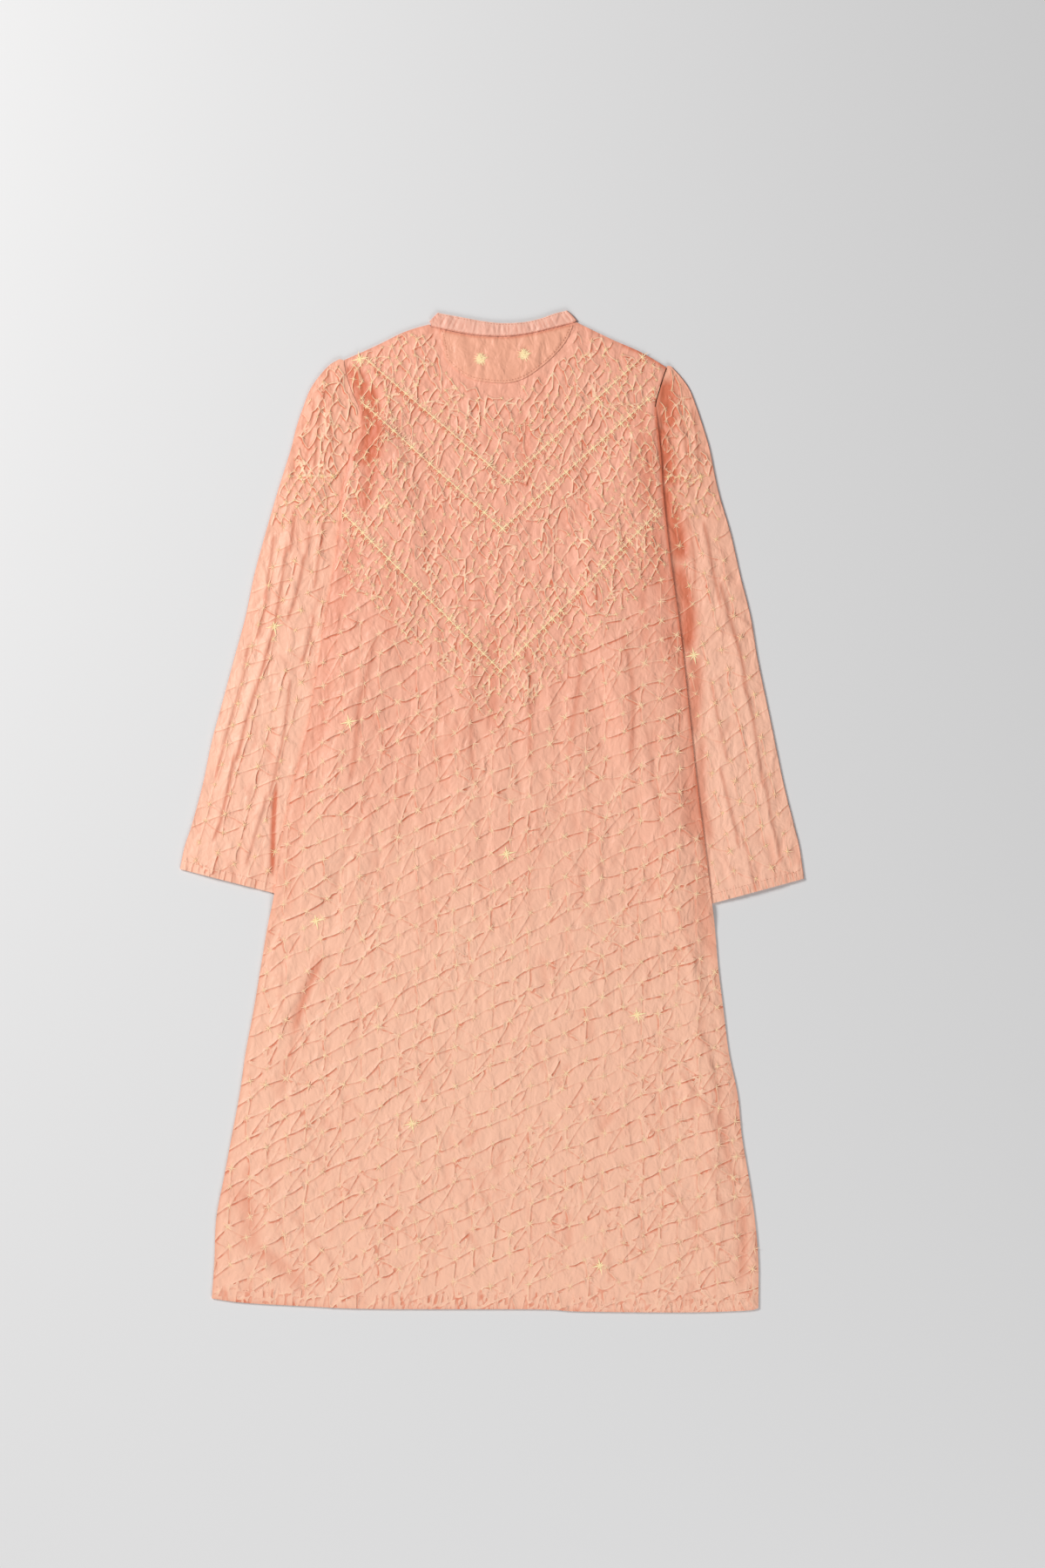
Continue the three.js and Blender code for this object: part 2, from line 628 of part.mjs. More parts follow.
// A sleeve: one sheet folded along its outer edge, its underarm edges lying under the panels
function makeSleeve(side) {
  const inward = side === 'left' ? 1 : -1;
  const cap = offset(armhole[side], side === 'left' ? SEAM_GAP : -SEAM_GAP);
  const cuff = curve([CUFF_TIPS[side], CUFF_CORNERS[side]]);
  const fold = foldEdge[side];
  const path = [...fold, ...cuff.slice(1), ...tuckedEdge[side].toReversed().slice(1, -1), ...cap];
  const foldCount = fold.length;
  const bodySide = offset(sideEdge[side], side === 'left' ? 1.2 : -1.2);
  const tuckLine = bodySide.filter((p) => isInside(p, path) && p.y < ARMHOLE_START - 8
    && distanceToLine(p, closed(path)) > KEEP_CLEAR);

  const isUnderBody = (p) => isInside(p, backLoop);
  const exposure = (p) => isUnderBody(p) ? 0 : smooth(0, PUFF_REACH, distanceToLine(p, bodySide));
  const puff = (p) => SLEEVE_PUFF * exposure(p) * smooth(0, PUFF_REACH, distanceToLine(p, fold));
  const top = (p) => SLEEVE_TOP + puff(p) + (p.raise ?? 0);

  const lean = SLEEVE_LEAN[side];
  const sleeveRise = (x) => inward * skirtRise(x * inward) + 4;
  const fromSleeve = (p) => ({ ...p, x: p.x + lean * (SLEEVE_LINE_Y - p.y), y: p.y + lean * p.x * 0.5 });
  const isTieClear = (p) => isInside(p, path) && !isUnderBody(p) && distanceToLine(p, bodySide) > KEEP_CLEAR
    && distanceToLine(p, closed(path)) > KEEP_CLEAR && tuckLine.every((q) => length(p, q) > KEEP_CLEAR);
  const isDense = (p) => p.y < SLEEVE_LINE_Y + 8 && p.y > SLEEVE_DENSE_Y;
  const sparse = netPoints(TIE_COLUMN, TIE_ROW, sleeveRise, TIE_RAISE, () => true)
    .map(fromSleeve).filter((p) => isTieClear(p) && !isDense(p));
  const dense = netPoints(YOKE_STEP, YOKE_STEP * 0.9, () => 0, YOKE_RAISE, (p) => isDense(p) && isTieClear(p))
    .filter((p) => sparse.every((q) => length(p, q) > TIE_SPACING));
  const ties = [...sparse, ...dense];
  const plain = [];
  const columns = Math.ceil(HALF_WIDTH / SLEEVE_PLAIN_STEP);
  const rows = Math.ceil(HALF_LENGTH / SLEEVE_PLAIN_STEP);
  for (let i = -columns; i <= columns; i++) {
    for (let j = -rows; j <= rows; j++) {
      const x = (i + 0.1 * scatter(i, j)) * SLEEVE_PLAIN_STEP;
      const p = { x, y: (j + 0.1 * scatter(j, i)) * SLEEVE_PLAIN_STEP };
      const clearOf = (line) => distanceToLine(p, line) > INSET;
      if (isInside(p, path) && clearOf(closed(path)) && clearOf(bodySide)) plain.push(p);
    }
  }
  const underBody = plain.filter(isUnderBody);

  const loop = side === 'left' ? path : path.toReversed();
  const firstFold = side === 'left' ? 0 : loop.length - foldCount;
  const lastFold = firstFold + foldCount - 1;
  const isFoldEdge = (i) => i >= firstFold && i < lastFold;
  const shell = new Shell();
  const topSkin = shell.skin(loop, [...ties, ...tuckLine, ...underBody], top, true, 0.8);
  const topInside = shell.skin(loop, [...plain, ...tuckLine], (p) => top({ x: p.x, y: p.y }) - WALL, false);
  const lowerInside = shell.skin(loop, plain, () => WALL, true);
  const lowerSkin = shell.skin(loop, plain, () => 0, false);

  // The outer fold bulges past the edge by half the height of the pressed sleeve
  const bulge = (angle) => {
    const radius = SLEEVE_TOP / 2;
    const moved = offset(loop, -radius * Math.cos(angle));
    return shell.add(moved, () => radius + radius * Math.sin(angle));
  };
  const foldRows = [topSkin, bulge(Math.PI / 5), bulge(-Math.PI / 5), lowerSkin];
  for (let i = 0; i < loop.length; i++) {
    const next = (i + 1) % loop.length;
    if (isFoldEdge(i)) {
      for (let row = 1; row < foldRows.length; row++) shell.strip(foldRows[row - 1], foldRows[row], i, next);
      shell.strip(topInside, lowerInside, next, i);
    } else {
      shell.strip(topSkin, topInside, i, next);
      shell.strip(lowerInside, lowerSkin, i, next);
    }
  }
  for (const end of [firstFold, lastFold]) {
    const ring = [foldRows[2], lowerSkin, lowerInside, topInside, topSkin].map((row) => row + end);
    const tip = foldRows[1] + end;
    for (let c = 1; c < ring.length; c++) {
      if (end === lastFold) shell.face(tip, ring[c - 1], ring[c]);
      else shell.face(tip, ring[c], ring[c - 1]);
    }
  }
  return shell.mesh(`sleeve_${side}`, COLOURS.sleeve);
}

// The band collar: its back half lies above the neck seam, its front half under it.
// Each station has a point on the seam, a point on the free edge, and the way the cloth faces.
function collarStations() {
  const seam = offset(neckSeam, SEAM_GAP);
  const topEdge = new THREE.SplineCurve(COLLAR_TOP.map((p) => new THREE.Vector2(p.x, p.y)));
  const still = { x: 0, y: 0 };
  const back = seam.map((p, i) => {
    const free = topEdge.getPointAt((i + 1) / (seam.length + 1));
    return { seam: p, free, angle: Math.PI / 2, out: still };
  });
  const neck = frontNeck();
  const front = {};
  const folded = {};
  for (const side of SIDES) {
    const turn = side === 'left' ? 1 : -1;
    const low = offset(neck[side], turn * SEAM_GAP);
    const free = offset(neck[side], turn * COLLAR_RISE);
    front[side] = low.map((p, i) => ({ seam: p, free: free[i], angle: -Math.PI / 2, out: still }));
    const tip = side === 'left' ? COLLAR_TOP[0] : COLLAR_TOP[COLLAR_TOP.length - 1];
    const axis = { seam: COLLAR_ENDS[side], free: tip };
    const span = length(axis.seam, axis.free);
    const out = {
      x: (-turn * (axis.free.y - axis.seam.y)) / span,
      y: (turn * (axis.free.x - axis.seam.x)) / span,
    };
    folded[side] = [1, 0.5, 0, -0.5, -1].map((share) => ({ ...axis, angle: (share * Math.PI) / 2, out }));
  }
  return [
    ...front.left.toReversed(),
    ...folded.left.toReversed(),
    ...back,
    ...folded.right,
    ...front.right,
  ];
}

function makeCollar() {
  const pivot = WALL + SEAM_GAP / 2;
  const inner = SEAM_GAP / 2;
  const outer = inner + WALL;
  const shell = new Shell();
  const corner = (station, share, radius) => {
    const reach = radius * Math.cos(station.angle);
    return {
      x: THREE.MathUtils.lerp(station.seam.x, station.free.x, share) + reach * station.out.x,
      y: THREE.MathUtils.lerp(station.seam.y, station.free.y, share) + reach * station.out.y,
      z: pivot + radius * Math.sin(station.angle),
    };
  };
  const stations = collarStations();
  const corners = 5;
  for (const station of stations) {
    const crown = station.angle > 0 ? COLLAR_CROWN * Math.sin(station.angle) : 0;
    const ring = [
      corner(station, 0, inner),
      corner(station, 1, inner),
      corner(station, 1, outer),
      corner(station, 0.5, outer + crown),
      corner(station, 0, outer),
    ];
    shell.add(ring, (p) => p.z);
  }
  for (let i = 1; i < stations.length; i++) {
    for (let c = 0; c < corners; c++) {
      const [a, b] = [(i - 1) * corners, i * corners];
      const next = (c + 1) % corners;
      shell.face(a + c, b + next, b + c);
      shell.face(a + c, a + next, b + next);
    }
  }
  const last = (stations.length - 1) * corners;
  for (let c = 1; c < corners - 1; c++) {
    shell.face(0, c + 1, c);
    shell.face(last, last + c, last + c + 1);
  }
  return shell.mesh('collar', COLOURS.collar);
}

// The half-moon patch under the collar lies on the back panel and follows its surface
function makePatch() {
  const bottom = (p) => backTop({ x: p.x, y: p.y }) + PATCH_GAP;
  const top = (p) => bottom(p) + PATCH_WALL + (p.raise ?? 0);
  const ties = patchTies();
  const besideTies = patchField.filter((p) => ties.every((q) => length(p, q) > KEEP_CLEAR));
  return clothWall('neck_patch', COLOURS.patch, patchLoop, [...ties, ...besideTies], patchField, top, bottom);
}

const group = new THREE.Group();
group.add(makeFrontPanel());
group.add(makeSleeve('left'));
group.add(makeSleeve('right'));
group.add(makeBackPanel());
group.add(makeCollar());
group.add(makePatch());

export default group;
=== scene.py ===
# A bandhani dress laid flat on its front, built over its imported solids.
# Lengths in the cut are millimetres: x across, y up the dress, z up from the surface. MM makes them metres.

import math

import bpy
import numpy as np
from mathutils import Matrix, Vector, geometry, kdtree


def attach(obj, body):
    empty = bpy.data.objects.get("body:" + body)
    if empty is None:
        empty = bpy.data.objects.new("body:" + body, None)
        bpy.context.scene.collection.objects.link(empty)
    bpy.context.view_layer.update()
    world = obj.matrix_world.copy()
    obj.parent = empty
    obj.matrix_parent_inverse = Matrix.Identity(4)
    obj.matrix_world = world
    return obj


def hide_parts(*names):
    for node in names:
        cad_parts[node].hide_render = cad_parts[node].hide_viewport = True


bl_info = {
    "name": "Bandhani Dress",
    "version": (1, 0, 0),
    "blender": (4, 5, 0),
    "location": "View3D > Sidebar > Dress",
    "description": "A tie-dyed silk dress laid flat, dressed over its packed solids",
    "category": "Add Mesh",
}

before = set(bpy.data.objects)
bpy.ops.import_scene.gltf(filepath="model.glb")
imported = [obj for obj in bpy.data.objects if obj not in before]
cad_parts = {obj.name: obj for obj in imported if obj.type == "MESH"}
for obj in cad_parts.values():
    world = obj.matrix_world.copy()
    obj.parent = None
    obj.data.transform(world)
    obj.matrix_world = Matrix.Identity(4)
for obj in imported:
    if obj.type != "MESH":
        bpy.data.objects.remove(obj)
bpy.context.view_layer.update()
MM = 0.001
SIDES = ("left", "right")
TURNS = {"left": 1, "right": -1}  # towards the middle of the dress, across it
OUTER_ENDS = {"left": 0, "right": -1}  # where a side ends in a line that runs from left to right

# Layers of the laid dress, as in the solids
WALL = 1.1
SEAM_GAP = 0.3
LAYER_GAP = 0.4
TUCK_MARGIN = 8
TUCK_RAMP = 30
BODY_PUFF = 1.5
SLEEVE_PUFF = 1.6
PUFF_REACH = 38
SLEEVE_TOP = 2 * WALL + SEAM_GAP
PANEL_LIFT = SLEEVE_TOP + LAYER_GAP
PATCH_WALL = 1.0
PATCH_GAP = 0.4
PATCH_SEAM = 2.6

# Sizes that are used as they are, in metres
FLOOR_HALF, FLOOR_DROP, CLOTH_HEIGHT = 5, 0.0004, 0.005

# Nets of the skins: spacing of the points, and how far they keep from the edge
FRONT_NET, FRONT_TOP_NET, BACK_UNDER_NET = (4.2, 2.5), (9, 4), (12, 5)
PATCH_NET, PATCH_UNDER_NET = (1.7, 1.2), (7, 3)
LOW_COLUMNS = 16  # across the underside of a sleeve

# How far from a crest its colours are carried
FRONT_REACH, SLEEVE_REACH, YOKE_REACH, SKIRT_REACH = 3.6, 2.5, 2.3, 3.2
EDGE_ROLL = 6  # the creases die down this near an edge

# Bands of colour along a crest: where each starts across it and where it is full, steep side negative; the
# line on the steep side is painted shade
CREST_FULL, CREST_EDGE, LINE_EDGE, LINE_END = 0.4, (-0.35, 0.15), (0.0, -0.7), (-3.3, -1.5)
RIDGE_RISE, RIDGE_FALL = (2.6, 0.0), (-1.3, 0.0)

# Ties, as in the solids
TIE_COLUMN, TIE_ROW, TIE_SLOPE, TIE_BEND = 21.5, 22.5, 0.48, 0.0002
LINE_STEP, LINE_LENGTH, YOKE_DEPTH = 14, 290, 75
TIE_JITTER, TIE_SPACING, KEEP_CLEAR = 2.2, 8, 7.5
HALF_WIDTH, HALF_LENGTH = 400, 900
V_LINES = [(18, 380, 0.86, 0.92), (12, 325, 0.90, 0.89), (10, 162, 1.0, 1.01)]
STAR_DOTS = [(-152, 520), (-164, 103), (17, -48), (-202, -125), (167, -233), (-92, -358), (124, -521)]
SLEEVE_STARS = {"left": [(-250, 213)], "right": [(232, 180)]}
SLEEVE_LEAN = {"left": -0.268, "right": 0.226}
SLEEVE_LINE_Y, SLEEVE_DENSE_Y = 385, 330
# How high the sleeve's broad folds stand, and how strong the painted shade in their valleys and on their
# ridges
SLEEVE_RISE, SLEEVE_VALLEY_SHADE, SLEEVE_RIDGE_SHADE = 1.1, 2.2, 1.6
STAR_SPREAD, PATCH_SPREAD = 1.9, 3.2  # how far the small ties of a dot stand from its middle
HEM_PUCKER, CUFF_PUCKER = 0.65, 0.5

# Stretches unlike the rest: the calm middle of the yoke, and the right edge with its deeper painted shade
QUIET_X, QUIET_HALF_WIDTH, QUIET_Y, QUIET_SHARE, YOKE_SHARE = 15, 110, 230, 0.45, 0.85
DEEP_SHADE_X, DEEP_SHADE_Y, DEEP_EDGE_SHADE, EDGE_SHADE = 150, -60, 1.1, 0.35
SHOWN_SIDE_LOW, SHOWN_SIDE_HIGH = -115, 500  # the stretch of the body's side that a sleeve comes out from

# Soft folds strewn over the cloth: how many, and their shortest and longest
BACK_RUFFLES, SLEEVE_RUFFLES = (640, (16, 44)), (130, (20, 60))
YOKE_LATTICE, SLEEVE_LATTICE = (5.6, 9.0), (5.2, 8.5)
SEEDS = {"back": 11, "left": 23, "right": 29, "collar": 41, "patch": 53}

# Kinds of tie: reach of its arms, height, share of undyed colour
LINE_TIE, LOW_LINE_TIE, BETWEEN_TIE = (8.0, 0.5, 0.95), (8.0, 0.5, 1.2), (6.4, 0.42, 0.75)
YOKE_TIE, SKIRT_TIE, SLEEVE_TIE = (5.0, 0.42, 0.8), (7.0, 0.46, 0.6), (6.6, 0.6, 0.75)
SLEEVE_LINE_TIE, ARM_TIE, HEAD_TIE = (6.2, 0.7, 1.2), (4.6, 0.5, 0.9), (3.8, 0.4, 0.6)
STAR_TIE, STAR_SMALL_TIE = (12, 0.75, 1.9), (4.2, 0.5, 1.9)
PATCH_TIE, PATCH_SMALL_TIE = (9, 0.6, 2.0), (6.6, 0.36, 2.0)

# The cut: both edges of the panels from the hem to the shoulder, as y, left, right
BODY_EDGES = [
    (-560, -322, 306), (-516, -319, 306), (-468, -317, 302), (-420, -308, 295), (-372, -299, 287),
    (-324, -290, 282), (-276, -283, 272), (-228, -274, 266), (-180, -266, 260), (-132, -258, 256),
    (-93, -250, 251), (-35, -242, 244), (27, -229, 236), (90, -213, 229), (175, -199, 220),
    (232, -190, 213), (282, -181, 206), (332, -175, 200), (372, -171, 196), (407, -163, 194),
    (436, -149, 191), (464, -153, 189), (485, -162, 194), (505, -168, 201),
]
ARMHOLE_START = 436
HEM = [(-322, -559), (-285, -564), (-213, -568), (-141, -571), (51, -571.5), (99, -574), (219, -575),
       (291, -573), (306, -570)]
SHOULDERS = {
    "left": [(-170, 519), (-133, 535.5), (-100, 551.5), (-72, 560)],
    "right": [(97, 562.5), (136, 543.5), (172, 527.5), (203, 509)],
}
NECK_SEAM = [(-70, 557), (-34, 549.5), (-9, 546.5), (17, 546), (42, 549), (68, 555), (94, 561.5)]
COLLAR_TOP = [(-61, 573), (-34, 568), (-9, 563.5), (12, 561.5), (36, 562.5), (55, 566.5), (72, 572.5),
              (85, 575.5)]
COLLAR_ENDS = {"left": (-71, 562.5), "right": (96.5, 564)}
COLLAR_RISE, COLLAR_CROWN = 16, 0.4
FRONT_NECK_DROP, SLIT_LENGTH, SLIT_WIDTH = 92, 180, 1.6
PATCH_EDGE = [(-60, 554), (-56, 537), (-51, 517), (-28, 499), (-9, 494), (17, 492.5), (37, 498), (55, 510),
              (71, 524), (85, 541), (93, 559)]
PATCH_DOTS = [(-13, 520), (37, 525)]
PATCH_CREASES = [(-34, 548, -30, 505, 7, 0.8), (8, 544, 12, 498, 8, 0.9), (60, 550, 50, 512, 7, 0.7)]

# Sleeves: outer fold and hidden underarm edge, as y, left, right
SLEEVE_FOLDS = [
    (512, -187, 205), (488, -206, 224), (464, -216, 234), (440, -224, 242), (416, -230, 249),
    (368, -245, 259), (320, -259, 273), (272, -272, 284), (224, -282, 296), (176, -295, 304),
    (128, -308, 314), (80, -321, 324), (32, -331, 334), (-16, -344, 346), (-40, -352, 352),
]
TUCKED_EDGES = [
    (410, -128, 172), (370, -115, 147), (330, -104, 127), (290, -102, 121), (250, -109, 124),
    (200, -124, 137), (150, -140, 151), (100, -155, 163), (50, -170, 177), (0, -184, 190),
    (-50, -202, 204),
]
FOLD_STARTS = {"left": (-175, 520), "right": (206, 508)}
CUFF_TIPS = {"left": (-357.5, -66), "right": (357.5, -77)}
CUFF_CORNERS = {"left": (-221, -101), "right": (221, -114)}

# Soft folds of the back, as in the solids: x, y to x, y, half width, height
SOFT_FOLDS = [
    (-42, 150, -30, -90, 24, 1.7), (9, 118, 4, -60, 20, 1.4), (52, 125, 50, -50, 20, 1.3),
    (100, 165, 98, 0, 22, 1.5), (140, 210, 152, -30, 20, 1.3), (-120, 110, -172, -170, 26, 1.6),
    (-152, 215, -190, 20, 22, 1.3), (196, 130, 226, -90, 22, 1.5), (222, -130, 262, -470, 26, 1.4),
    (-215, -320, -262, -520, 28, 1.6), (-130, 470, -126, 405, 20, 1.4),
]

# Main creases, given one by one: x, y to x, y, half width, height, depth of painted shade; a negative height
# is a valley
BACK_CREASES = [
    (-160, 514, -148, 482, 12, -0.6, 1.3), (-148, 489, -138, 446, 15, -0.7, 1.6),
    (-138, 453, -134, 396, 15, -0.7, 1.6), (-136, 404, -144, 340, 10, -0.5, 0.8),
    (-132, 500, -112, 452, 9, 1.3, 0.1), (-112, 458, -106, 396, 10, 1.5, 0.1),
    (-152, 462, -154, 412, 5, 1.2, 0.5), (-160, 436, -166, 350, 6, 0.9, 0),
    (-197, -166, -227, -258, 6, -1.0, 0.85), (-206, -172, -244, -250, 7, 1.1, 0.2),
    (-222, -250, -246, -330, 6, -0.5, 0.35), (-285, -430, -277, -505, 13, -1.0, 0.5),
    (-278, -496, -212, -545, 10, -0.8, 0.4), (-232, -462, -184, -528, 7, 0.8, 0.25),
    (-150, -470, -120, -540, 6, 0.6, 0.15), (236, -255, 262, -330, 7, 1.1, 0.3),
    (216, -300, 271, -392, 6, 0.9, 0.3), (243, -395, 268, -470, 7, 1.0, 0.3),
    (202, -430, 258, -520, 6, 0.9, 0.3), (286, -440, 290, -545, 7, -0.7, 0.5),
    (262, -330, 276, -430, 6, -0.6, 0.4), (182, 440, 190, 330, 13, -0.3, 0.55),
    (191, 336, 206, 220, 13, -0.3, 0.55), (207, 226, 226, 100, 14, -0.3, 0.55),
    (225, 106, 242, -40, 14, -0.4, 0.55), (240, -34, 256, -180, 13, -0.4, 0.45),
    (-158, 330, -176, 200, 11, -0.4, 0.4), (-178, 206, -206, 60, 11, -0.4, 0.35),
    (-208, 60, -240, -120, 10, -0.3, 0.3), (8, 215, -4, 90, 9, -0.9, 0.5),
    (-30, 200, -24, 40, 8, 1.3, 0.5), (34, 190, 44, 60, 8, 1.2, 0.5), (96, 200, 88, 60, 8, 1.0, 0.45),
    (-140, 200, -168, 40, 8, 1.1, 0.5), (150, 200, 160, 60, 8, 1.1, 0.5),
    (35, 460, 40, 372, 9, -0.5, 0.4), (-60, 420, -66, 330, 8, -0.4, 0.3),
    (104, 430, 112, 330, 8, -0.4, 0.3), (172, 470, 176, 380, 7, -0.6, 0.45),
    (-112, 300, -118, 180, 8, -0.5, 0.35), (168, 300, 182, 180, 7, -0.5, 0.4),
    (-66, 205, -50, 60, 7, 0.7, 0.1), (70, 150, 62, 10, 6, 0.7, 0.1), (-96, 96, -120, -60, 7, 0.8, 0.15),
    (172, 96, 196, -40, 7, 0.8, 0.2), (128, 40, 118, -110, 6, 0.6, 0.1),
    (-150, 20, -186, -96, 7, 0.8, 0.2), (-12, 60, -20, -120, 6, 0.6, 0.1),
    (30, 20, 44, -130, 6, 0.5, 0.1), (-240, -60, -262, -150, 6, 0.8, 0.25),
    (-60, -20, -84, -150, 6, 0.6, 0.1), (206, -100, 240, -210, 7, 0.9, 0.25),
    (92, -60, 70, -210, 5, 0.5, 0.1),
]
SLEEVE_CREASES = {
    "left": [
        (-196, 486, -205, 395, 4, 0.9, 0.35), (-208, 470, -216, 392, 4, 0.8, 0.3),
        (-184, 478, -188, 402, 3.5, 0.7, 0.3), (-228, 345, -236, 300, 5, 1.2, 0.5),
        (-236, 304, -262, 175, 4.5, 1.2, 0.5), (-252, 316, -261, 245, 4, 1.0, 0.45),
        (-261, 250, -270, 200, 4, 0.8, 0.4), (-212, 322, -218, 290, 4, 0.8, 0.4),
        (-218, 294, -236, 222, 4.5, 1.0, 0.5), (-196, 332, -204, 258, 4, 0.8, 0.4),
        (-208, 226, -220, 172, 4.5, 0.9, 0.45), (-262, 180, -296, 60, 5, 1.2, 0.5),
        (-296, 64, -322, -30, 5, 1.1, 0.45), (-282, 190, -318, 40, 4.5, 0.9, 0.4),
        (-232, 150, -256, 20, 4.5, 0.9, 0.4), (-262, 20, -282, -60, 4.5, 0.8, 0.35),
        (-240, -40, -232, -84, 4, 0.8, 0.35), (-247, 30, -253, -72, 3, -0.5, 0.8),
    ],
    "right": [
        (212, 478, 222, 396, 4, 0.8, 0.3), (228, 462, 236, 392, 4, 0.9, 0.3),
        (240, 330, 262, 236, 5, 1.1, 0.4), (222, 338, 232, 262, 4.5, 0.9, 0.4),
        (262, 262, 290, 140, 5, 1.2, 0.4), (286, 150, 312, 30, 5, 1.1, 0.4),
        (250, 150, 268, 60, 5, 0.9, 0.35), (310, 40, 330, -56, 5, 1.0, 0.35),
        (262, 50, 280, -40, 5, 0.8, 0.35), (286, -30, 300, -92, 4, 0.8, 0.3),
        # From 208, 496 on: valleys along the body's edge, whose dye is painted shadow cast by the body on
        # the sleeve
        (246, -20, 250, -100, 4, 0.7, 0.3), (208, 496, 200, 438, 15, -0.5, 0.6),
        (200, 446, 204, 372, 18, -0.5, 0.6), (204, 382, 214, 282, 17, -0.5, 0.55),
        (214, 292, 228, 175, 15, -0.5, 0.5), (228, 184, 238, 84, 13, -0.4, 0.4),
        (238, 92, 251, -40, 9, -0.3, 0.3),
    ],
}


def smooth(start, end, value):
    share = np.clip((value - start) / (end - start), 0, 1)
    return share * share * (3 - 2 * share)


def scatter(i, j):
    """A repeatable number from -1 to 1 for a pair of whole numbers, the same as in the solids."""
    wave = np.sin(np.asarray(i) * 127.1 + np.asarray(j) * 311.7) * 43758.5453
    return 2 * (wave - np.floor(wave)) - 1


def run_along(line):
    """How far each point of a line lies along it."""
    return np.concatenate([[0], np.cumsum(np.linalg.norm(np.diff(line, axis=0), axis=1))])


def resample(line, shares):
    """Points of a line at shares of its length."""
    line = np.asarray(line, float)
    run = run_along(line)
    at = np.asarray(shares) * run[-1]
    return np.stack([np.interp(at, run, line[:, k]) for k in range(line.shape[1])], axis=1)


def spaced(points, step):
    """A smooth curve through the points, cut into steps of about the given length."""
    p = np.asarray(points, float)
    p = np.vstack([p[:1], p, p[-1:]])
    t = np.linspace(0, 1, 24, endpoint=False)[:, None]
    spans = []
    for p0, p1, p2, p3 in zip(p, p[1:], p[2:], p[3:]):
        v0, v1 = (p2 - p0) / 2, (p3 - p1) / 2
        cubic, square = 2 * p1 - 2 * p2 + v0 + v1, 3 * p2 - 3 * p1 - 2 * v0 - v1
        spans.append(cubic * t**3 + square * t**2 + v0 * t + p1)
    line = np.vstack([*spans, p[-1:]])
    length = np.linalg.norm(np.diff(line, axis=0), axis=1).sum()
    return resample(line, np.linspace(0, 1, max(2, round(length / step) + 1)))


def shifted(line, distance):
    """The line moved sideways; a positive distance goes to the left of its direction."""
    line = np.asarray(line, float)
    ahead = np.vstack([line[1:], line[-1:]]) - np.vstack([line[:1], line[:-1]])
    ahead /= np.linalg.norm(ahead, axis=1)[:, None]
    return line + distance * np.stack([-ahead[:, 1], ahead[:, 0]], axis=1)


def to_line(points, line):
    """Distance of each point from a line of many short straight parts."""
    line = np.asarray(line, float)
    start, part = line[:-1], np.diff(line, axis=0)
    squared = np.maximum((part**2).sum(axis=1), 1e-9)
    least = np.empty(len(points))
    for first in range(0, len(points), 4000):
        block = points[first:first + 4000, None] - start[None]
        share = np.clip((block * part).sum(axis=2) / squared, 0, 1)
        gap = block - share[..., None] * part
        least[first:first + 4000] = np.sqrt((gap**2).sum(axis=2).min(axis=1))
    return least


def is_inside(points, loop):
    result = np.zeros(len(points), bool)
    x, y = points[:, 0], points[:, 1]
    for (ax, ay), (bx, by) in zip(loop, np.roll(loop, -1, axis=0)):
        if ay == by:
            continue
        result ^= ((ay > y) != (by > y)) & (x < (bx - ax) * (y - ay) / (by - ay) + ax)
    return result


def closed(loop):
    return np.vstack([loop, loop[:1]])


# Edges of the cut, fine enough for the cloth that shows
FINE = 2.0
body_sides, armholes, fold_edges, tucked_edges, tucked_areas = {}, {}, {}, {}, {}
shoulders = {side: spaced(SHOULDERS[side], FINE) for side in SIDES}
neck_seam = spaced(NECK_SEAM, FINE)
hem_line = spaced(HEM, FINE)
for column, side in enumerate(SIDES, 1):
    rows, folds, tucked = [
        [(row[column], row[0]) for row in table] for table in (BODY_EDGES, SLEEVE_FOLDS, TUCKED_EDGES)]
    first = next(i for i, row in enumerate(rows) if row[1] == ARMHOLE_START)
    lower = spaced([HEM[OUTER_ENDS[side]], *rows[1:first + 1]], FINE)
    armholes[side] = spaced([*rows[first:], SHOULDERS[side][OUTER_ENDS[side]]], FINE)
    body_sides[side] = np.vstack([lower[:-1], armholes[side]])
    fold_edges[side] = spaced([FOLD_STARTS[side], *folds, CUFF_TIPS[side]], FINE)
    tucked_edges[side] = spaced([armholes[side][0], *tucked, CUFF_CORNERS[side]], FINE)
    far_x = -TURNS[side] * (HALF_WIDTH + 2 * TUCK_RAMP)
    beyond = [CUFF_TIPS[side], (far_x, CUFF_TIPS[side][1]), (far_x, ARMHOLE_START)]
    tucked_areas[side] = np.vstack([tucked_edges[side][::4], beyond])
back_loop = np.vstack([
    hem_line[:-1], body_sides["right"][:-1], shoulders["right"][::-1][:-1], neck_seam[::-1],
    shoulders["left"][::-1][:-1], body_sides["left"][::-1][:-1],
])
back_edge = closed(back_loop)[::3]
patch_edge = spaced(PATCH_EDGE, 1.6)
patch_top = shifted(neck_seam, -1.2)
patch_top = patch_top[(patch_top[:, 0] > PATCH_EDGE[0][0] + 6) & (patch_top[:, 0] < 88)]
patch_loop = np.vstack([patch_edge, patch_top[::-1]])


# Heights of the layers at points x, y, in millimetres
def sleeve_distance(points):
    """Distance from the nearer sleeve under the panels, negative over the sleeve."""
    signed = []
    for side in SIDES:
        area = tucked_areas[side]
        signed.append(to_line(points, closed(area)) * np.where(is_inside(points, area), -1, 1))
    return np.minimum(*signed)


def front_bottom(points):
    """Underside of the front panel: on the surface, and over the sleeves tucked under it."""
    return PANEL_LIFT * (1 - smooth(TUCK_MARGIN, TUCK_MARGIN + TUCK_RAMP, sleeve_distance(points)))


